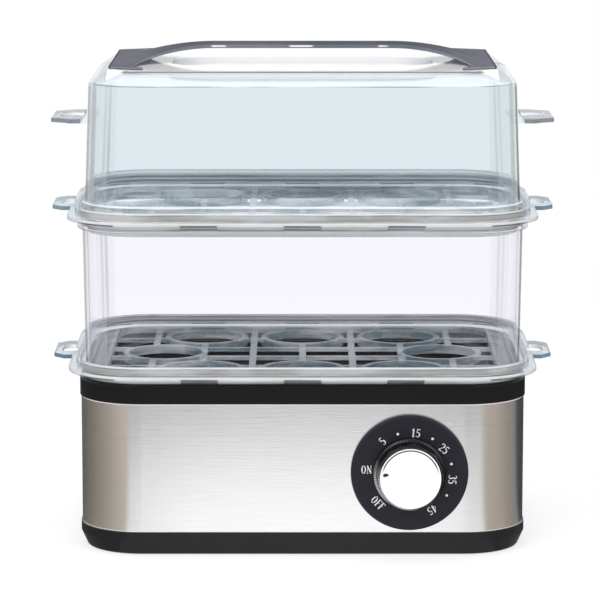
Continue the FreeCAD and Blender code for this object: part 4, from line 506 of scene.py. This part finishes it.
def softened(points, closed=False, steps=5, support=0.3):
    # a profile of offset, height, cut and corner radius, whose bends become short curves that start one cut
    # away; long flats get a support point near each end, so that they stay flat when shaded
    rows = np.array([[x, z, corner] for x, z, cut, corner in points])
    cuts = [cut for x, z, cut, corner in points]
    made = []
    for index, here in enumerate(rows):
        ended = not closed and index in (0, len(rows) - 1)
        before, after = rows[index - 1], rows[(index + 1) % len(rows)]
        if ended or not cuts[index]:
            made.append([here])
            continue
        ends = []
        for other in (before, after):
            reach = math.hypot(*(other - here)[:2])
            ends.append(here + (other - here) * min(cuts[index], 0.45 * reach) / reach)
        t = np.linspace(0.0, 1.0, steps)[:, None]
        made.append((1 - t) ** 2 * ends[0] + 2 * t * (1 - t) * here + t ** 2 * ends[1])
    flat = [row for block in made for row in block]
    full = []
    for index, here in enumerate(flat):
        full.append(here)
        if index == len(flat) - 1 and not closed:
            break
        after = flat[(index + 1) % len(flat)]
        reach = math.hypot(*(after - here)[:2])
        if reach > 5 * support:
            full += [here + (after - here) * support / reach, after - (after - here) * support / reach]
    return np.array(full) * mm


def roundedRows(profile, halfX, halfY, centre, steps=14, lead=0.6 * mm):
    # each profile point becomes a rounded rectangle round the centre, anticlockwise seen from above, with
    # a support point beside each end of every corner arc
    offset, height, radius = profile.T
    turn = np.linspace(0.0, math.pi / 2, steps + 1)
    blocks = []
    for quarter, (signX, signY) in enumerate(((1, -1), (1, 1), (-1, 1), (-1, -1))):
        angle = turn + (quarter - 1) * math.pi / 2
        x = centre[0] + signX * (halfX + offset - radius)[:, None] + radius[:, None] * np.cos(angle)
        y = centre[1] + signY * (halfY + offset - radius)[:, None] + radius[:, None] * np.sin(angle)
        for end, way in ((0, -lead), (-1, lead)):
            spotX = x[:, end] - way * math.sin(angle[end])
            spotY = y[:, end] + way * math.cos(angle[end])
            if end == 0:
                x, y = np.column_stack([spotX, x]), np.column_stack([spotY, y])
            else:
                x, y = np.column_stack([x, spotX]), np.column_stack([y, spotY])
        blocks.append(np.stack([x, y, np.repeat(height[:, None], x.shape[1], axis=1)], axis=-1))
    rows = np.concatenate(blocks, axis=1)
    rows[:, :, 2] += centre[2]
    return rows


def middleOf(node):
    low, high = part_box(node)
    return (low.x + high.x) / 2, (low.y + high.y) / 2, low.z


# Clear lid: one closed wall with sloping shoulders and a finger well, and an ear with a hole on each side
lidSizes = {
    "halfX": 92.2 * mm, "halfY": 64.2 * mm, "foot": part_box("lid")[0].z,
    "profile": [
        (-41.2, 54.7, 0.0, 15.0), (-34.4, 54.7, 0.9, 21.8), (-34.4, 59.7, 0.5, 21.8),
        (-13.0, 59.7, 0.9, 12.0), (-3.8, 55.6, 0.9, 21.2), (-1.8, 0.0, 0.3, 22.2), (1.7, 0.0, 0.5, 25.7),
        (1.7, 2.2, 0.5, 25.7), (1.0, 2.4, 0.2, 25.0), (1.0, 5.8, 0.5, 25.0), (-0.2, 6.2, 0.3, 23.9),
        (-2.0, 55.6, 0.9, 23.0), (-10.3, 61.5, 1.0, 14.7), (-36.2, 61.5, 1.2, 20.0),
        (-36.2, 56.5, 1.4, 20.0), (-41.2, 56.5, 0.0, 15.0),
    ],
    "ear": {"start": 89.5, "root": 20.5, "tip": 14.5, "bevel": 9.0, "hole": 10.0, "length": 19.5,
            "low": 36.0, "high": 38.0, "edge": 3.0, "soft": 0.35},
    "corner": {"slope": 2.0 / 55.6, "band": 4.2, "leftShadeBand": (190, 190, 193), "leftShadeLine": (158, 156, 157),
               "rightShadeBand": (176, 176, 172), "rightShadeLine": (52, 52, 54)},
    "panel": {"height": 54.2, "front": (-53.2, 0.3), "side": (82.0, 0.3), "chamfer": 55.9, "ends": 81.0,
              "endsFront": -50.0},
    "shoulder": (55.6, 0.16, 0.12), "shine": (56.3, 0.25, 0.2), "topLine": (61.1, 0.28, 0.06),
    "footLines": [(5.6, 0.25, 0.15, (240, 240, 243), 0.8), (4.4, 0.5, 0.4, (165, 168, 172), 0.4),
                  (2.0, 0.3, 0.15, (236, 238, 241), 0.7), (1.2, 0.25, 0.15, (140, 144, 150), 0.6)],
    "earFrom": 95.0, "through": rgb(0.927, 0.953, 0.965), "body": (248, 251, 254), "mirror": 0.16,
}


# clear lid, marked in painted shade and painted highlights: the wall's corner shade, a broken dark line at
# the shoulder with a broken painted highlight above it, a fine dark line along the top's front edge, a top
# panel painted nearly white as a painted reflection, a pale chamfer with grey ends, level lines on the foot
# flange, and grey ears
def lidMarks(f):
    sizes, panel = lidSizes, lidSizes["panel"]
    marks, x, y, z = paintedCornerShade(f, sizes)
    broken = f.ramp(f.noise(22.0, 2.0, stretch=(1.0, 0.2, 0.2)), 0.42, 0.58)
    standing = f.upright()
    side = x.math("ABSOLUTE")
    top = f.beyond(z, panel["height"]) * f.beyond(y, *panel["front"]) * f.within(side, *panel["side"])
    chamfer = (f.beyond(z, panel["chamfer"]) - top).clamped()
    ends = chamfer * f.beyond(side, panel["ends"]) * f.beyond(y, panel["endsFront"])
    ears = f.beyond(side, sizes["earFrom"])
    # painted reflection on the top panel, painted shade and highlight lines on the chamfer and shoulder
    marks += [(top, (254, 254, 255), 0.78), (chamfer, (240, 246, 250), 0.2), (ends, (176, 180, 186), 0.3),
              (f.near(z, *sizes["shoulder"]) * (broken * 0.5 + 0.5), (104, 104, 110), 0.85),
              (f.near(z, *sizes["shine"]) * (1.0 - broken) * 0.7, (250, 250, 252), 0.8),
              (f.near(z, *sizes["topLine"]) * f.within(y, -52.0), (84, 86, 92), 0.95)]
    marks += levelMarks(f, z, sizes["footLines"]) + [(ears * (1.0 - standing), (172, 172, 180), 0.62)]
    return marks + earMarks(f, x, y, ears * standing, (112, 118, 128), 0.85)


def earPart(ear, side, centre):
    # the outline and the hole are both read along rays from the middle of the hole; the plate's section,
    # rounded by the soft width at its four edges, then runs from the one to the other and back
    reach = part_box("lid")[1].x / mm
    middle = reach - ear["edge"] - ear["hole"] / 2
    shoulder = reach - ear["bevel"]
    outline = np.array([(ear["start"], -ear["root"]), (shoulder, -ear["root"]), (reach, -ear["tip"]),
                        (reach, ear["tip"]), (shoulder, ear["root"]), (ear["start"], ear["root"])])
    outline = outline - (middle, 0.0)
    corners = np.arctan2(outline[:, 1], outline[:, 0])
    angle = np.sort(np.concatenate([np.linspace(-math.pi, math.pi, 73)[:-1], corners]))
    ray = np.stack([np.cos(angle), np.sin(angle)], axis=-1)
    along = np.roll(outline, -1, axis=0) - outline
    outward = np.stack([along[:, 1], -along[:, 0]], axis=-1)
    facing = ray @ outward.T
    distance = (outline * outward).sum(axis=1)
    outer = np.where(facing > 1e-9, distance / np.maximum(facing, 1e-9), np.inf).min(axis=1)
    half, bow = (ear["length"] - ear["hole"]) / 2, ear["hole"] / 2
    across, up = np.abs(ray[:, 0]), np.abs(ray[:, 1])
    onSide = bow * up <= half * across
    inner = np.where(onSide, bow / np.maximum(across, 1e-9),
                     half * up + np.sqrt(np.maximum(bow ** 2 - (half * across) ** 2, 0.0)))
    soft = ear["soft"]
    low, high = ear["low"], ear["high"]
    section = [(outer, low + soft), (outer, high - soft), (outer - 0.3 * soft, high - 0.3 * soft),
               (outer - soft, high), (inner + soft, high), (inner, high - soft), (inner, low + soft),
               (inner + soft, low), (outer - soft, low)]
    rows = [np.stack([side * (middle + radius * ray[:, 0]), radius * ray[:, 1], np.full(len(radius), height)],
                     axis=-1) for radius, height in section]
    return gridPart(np.array(rows) * mm + np.array([centre[0], centre[1], centre[2]]), closed=True)


def lidPiece():
    centre = middleOf("lid")
    wall = roundedRows(softened(lidSizes["profile"]), lidSizes["halfX"], lidSizes["halfY"], centre)
    ears = [earPart(lidSizes["ear"], side, centre) for side in (-1, 1)]
    pane = clearPlastic("lid_finish", lidSizes["through"], lidSizes["body"], mirrorShare=lidSizes["mirror"],
                        marks=lidMarks)
    return addPiece("clear_lid", [gridPart(wall)] + ears, "cover", "clear_plastic", ["lid"], finish=pane)


lidPiece()

# Middle chamber: the open clear frame, with a bead below and a flange above
chamberSizes = {
    "halfX": 92.4 * mm, "halfY": 64.2 * mm, "foot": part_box("middle_chamber")[0].z,
    "profile": [(-1.8, 0.0, 0.3, 22.2), (1.7, 0.0, 0.5, 25.7), (1.7, 2.2, 0.5, 25.7), (0.0, 2.5, 0.3, 24.0),
                (0.7, 59.5, 0.4, 24.0), (2.9, 59.6, 0.4, 26.2), (2.9, 60.8, 0.4, 26.2),
                (-1.1, 60.8, 0.3, 22.2)],
    "corner": {"slope": -0.7 / 60.8, "band": 2.6, "leftShadeBand": (214, 214, 217), "leftShadeLine": (160, 161, 164),
               "rightShadeBand": (196, 194, 192), "rightShadeLine": (92, 92, 94)},
    "levels": [(60.4, 0.2, 0.15, (222, 226, 232), 0.8), (59.9, 0.15, 0.15, (120, 124, 130), 0.7),
               (59.3, 0.2, 0.15, (225, 228, 235), 0.6), (2.1, 0.2, 0.15, (235, 236, 238), 0.7),
               (1.3, 0.3, 0.15, (130, 132, 136), 0.6)],
    "through": rgb(0.982, 0.98, 0.995), "body": (250, 250, 254), "mirror": 0.15,
}


# clear chamber: the wall's painted corner shade and level lines of painted shade and highlight on its
# flange and its bead
def chamberMarks(f):
    marks, *_, z = paintedCornerShade(f, chamberSizes)
    return marks + levelMarks(f, z, chamberSizes["levels"])


def chamberPiece():
    rows = roundedRows(softened(chamberSizes["profile"], closed=True), chamberSizes["halfX"],
                       chamberSizes["halfY"], middleOf("middle_chamber"))
    pane = clearPlastic("chamber_finish", chamberSizes["through"], chamberSizes["body"],
                        mirrorShare=chamberSizes["mirror"], marks=chamberMarks)
    return addPiece("clear_chamber", [gridPart(rows, closed=True)], "chamber", "clear_plastic",
                    ["middle_chamber"], finish=pane)


chamberPiece()

# Knob: bright turned knob with a finely knurled skirt and grip, a domed edge and a pointer dimple
knobSizes = {
    "teeth": 96, "toothDepth": 0.16, "segments": 768, "hub": 0.02, "reflectionWay": (-0.75, -0.66),
    "profile": [(0.0, 0.0, 0.0, 0), (13.0, 0.0, 0.0, 0), (15.2, 0.0, 0.3, 1), (15.5, 1.9, 0.5, 1),
                (14.9, 2.5, 0.4, 0), (14.2, 2.9, 0.3, 1), (13.9, 10.0, 0.9, 1), (13.1, 11.1, 0.6, 0),
                (12.6, 11.0, 0.2, 0), (0.0, 11.2, 0.0, 0)],
    "face": (12.75, 0.06), "faceDepth": (0.7, 0.1), "line": (11.95, 0.26, 0.08), "lineFrom": (1.0, 6.0),
    "dimple": {"x": -10.3, "z": 1.5, "wide": 1.35, "tall": 0.95},
    "dark": (rgb(0.004, 0.004, 0.005), rgb(0.05, 0.05, 0.055)),
    "silver": (rgb(0.16, 0.16, 0.17), rgb(0.62, 0.62, 0.65)),
    "faceShade": rgb(0.96, 0.96, 0.96), "markShade": rgb(0.008, 0.008, 0.009),
}


# bright knob: the chrome face is painted nearly white and mostly non-metal, a painted reflection; the side is
# a dark chrome with a painted reflection that turns it silver at its lower left, with fine stripes of painted
# shade by the sine of the angle round the axis, a black line of painted shade in the upper half of the face's
# rim, and a dimple that is one inside an ellipse, with a painted shadow in its upper left
def knobFinish(name, centre, front):
    f, look = Finish(name), knobSizes
    x, z = f.axis("X") - centre[0], f.axis("Z") - centre[2]
    reach = (x * x + z * z).math("SQRT")
    shadeStripes = (z.math("ARCTAN2", x) * float(look["teeth"])).math("SINE") * 0.5 + 0.5
    # painted reflection: dark chrome above, silver towards the lower left
    silver = f.ramp((x * look["reflectionWay"][0] + z * look["reflectionWay"][1]) / reach, 0.35, 0.8)
    side = f.blend(silver, f.blend(shadeStripes, *look["dark"]), f.blend(shadeStripes, *look["silver"]))
    face = f.within(f.axis("Y") - front, *look["faceDepth"]) * f.within(reach, *look["face"])
    line = f.near(reach, *look["line"]) * f.ramp(z, look["lineFrom"][0] * mm, look["lineFrom"][1] * mm)
    dimple = look["dimple"]
    across = (x - dimple["x"] * mm) / (dimple["wide"] * mm)
    up = (z - dimple["z"] * mm) / (dimple["tall"] * mm)
    spot = 1.0 - f.ramp(across * across + up * up, 0.6, 1.1)
    # painted shadow in the dimple's upper left
    shadow = spot * f.ramp(up - across * 0.5, -1.1, -0.2)
    grain = f.noise(700.0, 3.0, 0.6)
    shade = f.blend(face, side, f.blend(grain, look["faceShade"], white))
    # painted shade: the rim line and the dimple's shadow
    shade = f.blend((line + shadow).clamped(), shade, look["markShade"])
    return f.done(f.node("ShaderNodeBsdfPrincipled", Base_Color=shade, Metallic=1.0 - face * 0.75,
                         Roughness=(0.12 + grain * 0.08).clamped(),
                         Normal=f.bump(grain - spot, 0.06, 0.0003, f.rounded(0.2 * mm))))


def turnedRows(profile, centre, segments, teeth, depth):
    # a profile of (radius, distance from the base plate, cut, knurled share), turned about the dial's axis
    radius, out, knurl = profile.T
    angle = np.linspace(0.0, 2 * math.pi, segments, endpoint=False)
    wave = -0.5 * depth * (1.0 - np.cos(teeth * angle))
    r = radius[:, None] + (knurl / mm)[:, None] * wave
    return np.stack([centre[0] + r * np.cos(angle), np.repeat(centre[1] - out[:, None], segments, axis=1),
                     centre[2] + r * np.sin(angle)], axis=-1)


def knobPiece():
    low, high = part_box("knob")
    centre = ((low.x + high.x) / 2, high.y, (low.z + high.z) / 2)
    profile = softened(knobSizes["profile"])
    profile[0, 0] = profile[-1, 0] = knobSizes["hub"] * mm
    rows = turnedRows(profile, centre, knobSizes["segments"], knobSizes["teeth"],
                      knobSizes["toothDepth"] * mm)
    bright = knobFinish("knob_finish", centre, low.y)
    return addPiece("bright_knob", [gridPart(rows)], "timer_knob", "knob_silver", ["knob", "knob_cap"],
                    finish=bright)


knobPiece()

# Dial figures: white numbers, words and dots on the dial plate, each stroke a thin raised strip
dialFigures = {
    "labels": [("5", -11.5, 13.7, -50), ("15", 2.5, 17.2, 5), ("25", 14.4, 10.4, 40), ("35", 18.0, -2.8, 95),
               ("45", 9.5, -15.8, 150), ("ON", -18.1, 1.5, 0), ("OFF", -13.2, -12.85, 45)],
    "dots": [(-5.07, 16.7), (9.5, 14.7), (17.5, 3.95), (15.6, -9.55)],
    "tall": 3.5, "raise": 0.12, "lift": 0.002, "sunk": 0.05, "dot": 0.55, "dotSides": 20,
    "thick": 0.078, "thin": 0.034, "advance": 0.56, "wideAdvance": {"O": 0.64, "N": 0.66},
}


def bow(centreX, centreZ, radiusX, radiusZ, start, end, count=17):
    # points along part of an ellipse, in degrees, with a stroke that is thick at its sides
    turn = np.radians(np.linspace(start, end, count))
    width = dialFigures["thin"] + (dialFigures["thick"] - dialFigures["thin"]) * np.cos(turn) ** 2
    return np.stack([centreX + radiusX * np.cos(turn), centreZ + radiusZ * np.sin(turn), width], axis=-1)


def bar(startX, startZ, endX, endZ, width):
    # a straight stroke from one point to another; the width is what it reaches to each side
    return np.array([(startX, startZ, width), (endX, endZ, width)])


def glyphStrokes():
    # strokes of each figure in a box one high, standing on nought
    thick, thin = dialFigures["thick"], dialFigures["thin"]
    return {
        "1": [bar(0.27, 0.0, 0.27, 1.0, thick), bar(0.1, 0.82, 0.27, 0.97, thin),
              bar(0.1, 0.03, 0.44, 0.03, thin)],
        "2": [bow(0.25, 0.72, 0.18, 0.25, 170, -35), bar(0.39, 0.58, 0.06, 0.06, thin),
              bar(0.04, 0.06, 0.47, 0.06, 0.055)],
        "3": [bow(0.23, 0.76, 0.17, 0.21, 150, -90), bow(0.23, 0.29, 0.2, 0.26, 90, -150)],
        "4": [bar(0.34, 0.97, 0.04, 0.3, thin), bar(0.03, 0.28, 0.5, 0.28, 0.045),
              bar(0.34, 0.98, 0.34, 0.0, thick)],
        "5": [bar(0.12, 0.94, 0.48, 0.94, 0.055), bar(0.14, 0.94, 0.12, 0.54, thin),
              bow(0.24, 0.32, 0.2, 0.29, 130, -145)],
        "O": [bow(0.29, 0.5, 0.21, 0.46, 0, 360, 33)],
        "N": [bar(0.12, 0.0, 0.12, 1.0, thin), bar(0.12, 0.97, 0.52, 0.03, thick),
              bar(0.52, 0.0, 0.52, 1.0, thin), bar(0.02, 0.97, 0.2, 0.97, thin),
              bar(0.42, 0.97, 0.62, 0.97, thin), bar(0.02, 0.03, 0.22, 0.03, thin)],
        "F": [bar(0.16, 0.0, 0.16, 1.0, thick), bar(0.06, 0.96, 0.5, 0.96, 0.036),
              bar(0.16, 0.52, 0.42, 0.52, 0.036), bar(0.05, 0.03, 0.29, 0.03, thin),
              bar(0.49, 0.97, 0.49, 0.8, 0.026)],
    }


def strokePart(points, place, tilt, face, layer):
    # a strip that reaches the stroke's width to each side of its centre line, from inside the dial to just
    # above its face, where each further layer stands a hair prouder
    along = np.gradient(points[:, :2], axis=0)
    along /= np.linalg.norm(along, axis=1, keepdims=True)
    sideways = np.stack([-along[:, 1], along[:, 0]], axis=-1) * points[:, 2:3]
    left, right = points[:, :2] + sideways, points[:, :2] - sideways
    turn = math.radians(tilt)
    rows = []
    for flat, depth in ((left, 1), (right, 1), (right, 0), (left, 0)):
        x = place[0] + flat[:, 0] * math.cos(turn) + flat[:, 1] * math.sin(turn)
        z = place[1] - flat[:, 0] * math.sin(turn) + flat[:, 1] * math.cos(turn)
        y = dialFigures["sunk"] if depth else -dialFigures["raise"] - dialFigures["lift"] * layer
        rows.append(np.stack([x, np.full(len(x), y), z], axis=-1))
    return gridPart(np.stack(rows, axis=1) * mm + np.array(face))


def figuresPiece():
    low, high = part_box("dial_plate")
    face = ((low.x + high.x) / 2, low.y, (low.z + high.z) / 2)
    glyphs, parts, tall = glyphStrokes(), [], dialFigures["tall"]
    for text, x, z, tilt in dialFigures["labels"]:
        steps = [dialFigures["wideAdvance"].get(letter, dialFigures["advance"]) for letter in text]
        start = -sum(steps) / 2
        for letter, step in zip(text, steps):
            for layer, stroke in enumerate(glyphs[letter]):
                moved = (stroke + (start, -0.5, 0.0)) * tall
                parts.append(strokePart(moved, (x, z), tilt, face, layer))
            start += step
    turn = np.linspace(0.0, 2 * math.pi, dialFigures["dotSides"], endpoint=False)
    for x, z in dialFigures["dots"]:
        rows = [np.stack([x + dialFigures["dot"] * np.cos(turn), np.full(len(turn), y),
                          z + dialFigures["dot"] * np.sin(turn)], axis=-1)
                for y in (dialFigures["sunk"], -dialFigures["raise"])]
        parts.append(gridPart(np.array(rows) * mm + np.array(face)))
    return addPiece("dial_figures", parts, "base", "white_plastic", sharp=30.0)


figuresPiece()

# Room, lights and camera
room = {
    "side": 8.0, "near": 0.3, "far": 0.75, "glow": 0.7, "cornerX": 68.0 * mm, "cornerY": -34.8 * mm,
    "ahead": [(0.0, 1.0), (0.17, 1.0), (0.21, 0.97), (0.27, 0.87), (0.32, 0.72), (0.37, 0.56), (0.41, 0.42),
              (0.46, 0.36), (0.5, 0.36)],
    "aside": [(0.0, 1.0), (0.05, 0.98), (0.08, 0.78), (0.1, 0.72), (0.12, 0.7)],
    "corners": [
        {"way": -1.0, "start": 25.0,
         "shades": [(0.0, (178, 168, 155)), (36.0, (174, 163, 151)), (66.0, (142, 135, 124)),
                    (102.0, (115, 107, 98)), (135.0, (90, 88, 86)), (180.0, (96, 95, 94))]},
        {"way": 1.0, "start": 35.0,
         "shades": [(0.0, (166, 157, 144)), (45.0, (163, 153, 140)), (66.0, (156, 146, 136)),
                    (88.0, (136, 127, 115)), (106.0, (124, 123, 122)), (112.0, (118, 118, 118)),
                    (116.0, (56, 57, 59)), (180.0, (50, 51, 53))]},
    ],
    "paint": rgb(0.92, 0.92, 0.92), "skyLight": rgb(0.75, 0.75, 0.75),
}


# white floor: pale paint mixed with plain white, wholly white further out; mirrors see painted shade instead,
# a floor that darkens with the way ahead of the object and to its sides, and turns beige, then grey, by the
# angle round its two front corners, which the steel band reflects as its shading
def floorFinish(name):
    f = Finish(name)
    apart = f.node("ShaderNodeVectorMath", {"operation": "LENGTH"}, Vector=f.place, out="Value")
    far = f.ramp(apart, room["near"], room["far"]) * (1.0 - room["glow"]) + room["glow"]
    paint = f.node("ShaderNodeBsdfDiffuse", Color=room["paint"])
    glow = f.node("ShaderNodeEmission", Color=white, Strength=1.0)
    seen = f.node("ShaderNodeMixShader", Fac=far, Shader=paint, Shader_001=glow)
    x, ahead = f.axis("X"), f.axis("Y") * -1.0
    mirrored = f.node("ShaderNodeMix", {"data_type": "RGBA", "blend_type": "MULTIPLY"}, Factor_Float=1.0,
                      A_Color=f.stops(ahead, room["ahead"]),
                      B_Color=f.stops(x.math("ABSOLUTE"), room["aside"]), out="Result_Color")
    # painted shade for mirrors round the two front corners
    for corner in room["corners"]:
        out = x * corner["way"] - room["cornerX"]
        turn = out.math("ARCTAN2", ahead + room["cornerY"]) * (180.0 / math.pi)
        mask = f.beyond(turn, corner["start"], 0.8, unit=1.0) * f.beyond(out, 0.0, 1.0)
        mirrored = f.blend(mask, mirrored, f.stops(turn, corner["shades"]))
    shown = f.node("ShaderNodeEmission", Color=mirrored, Strength=1.0)
    ray = f.node("ShaderNodeLightPath", out="Is Glossy Ray")
    return f.done(f.node("ShaderNodeMixShader", Fac=ray, Shader=seen, Shader_001=shown))


def floorPlane():
    half = room["side"] / 2
    mesh = bpy.data.meshes.new("floor")
    mesh.from_pydata([(-half, -half, 0.0), (half, -half, 0.0), (half, half, 0.0), (-half, half, 0.0)], [],
                     [(0, 1, 2, 3)])
    mesh.materials.append(floorFinish("floor_paint"))
    made = bpy.data.objects.new("floor", mesh)
    bpy.context.scene.collection.objects.link(made)


# sky: plain white for the camera and for mirrors, and a softer white as light
def studioSky():
    world = bpy.data.worlds.new("studio")
    bpy.context.scene.world = world
    f = Finish(world)
    seen, mirrored = (f.node("ShaderNodeLightPath", out=ray) for ray in ("Is Camera Ray", "Is Glossy Ray"))
    light = f.node("ShaderNodeBackground", Color=room["skyLight"], Strength=1.0)
    shown = f.node("ShaderNodeBackground", Color=white, Strength=1.0)
    f.done(f.node("ShaderNodeMixShader", Fac=seen.math("MAXIMUM", mirrored), Shader=light, Shader_001=shown),
           "ShaderNodeOutputWorld")


floorPlane()
studioSky()

lamps = {
    "key": {"place": (-0.9, -1.3, 1.5), "size": (1.2, 1.2), "power": 16.0},
    "fill": {"place": (1.2, -1.3, 1.2), "size": (1.2, 1.2), "power": 9.0},
    "top": {"place": (0.0, 0.2, 1.8), "size": (1.6, 1.2), "power": 12.0},
}
aim = np.array([0.0, 0.0, 0.1])  # each lamp looks at the object's middle
for name, lamp in lamps.items():
    data = bpy.data.lights.new(name, "AREA")
    data.shape = "RECTANGLE"
    data.size, data.size_y = lamp["size"]
    data.energy = lamp["power"]
    made = bpy.data.objects.new(name, data)
    bpy.context.scene.collection.objects.link(made)
    made.location = lamp["place"]
    way = aim - np.array(lamp["place"])
    made.rotation_euler = (math.atan2(math.hypot(way[0], way[1]), -way[2]), 0.0,
                           math.atan2(way[1], way[0]) - math.pi / 2)

view = {"lens": 192.2, "sensor": 36.0, "pitch": 9.336, "place": (-1.1 * mm, -1380.1 * mm, 326.2 * mm)}
camera = bpy.data.objects.new("camera", bpy.data.cameras.new("camera"))
bpy.context.scene.collection.objects.link(camera)
camera.data.sensor_width = view["sensor"]
camera.data.lens = view["lens"]
camera.data.clip_start = 0.05
camera.location = view["place"]
camera.rotation_euler = (math.radians(90.0 - view["pitch"]), 0.0, 0.0)
bpy.context.scene.camera = camera
bpy.context.scene.view_settings.view_transform = "Standard"
bpy.context.scene.cycles.transparent_max_bounces = 40
print("stage: room, lights and camera ready")
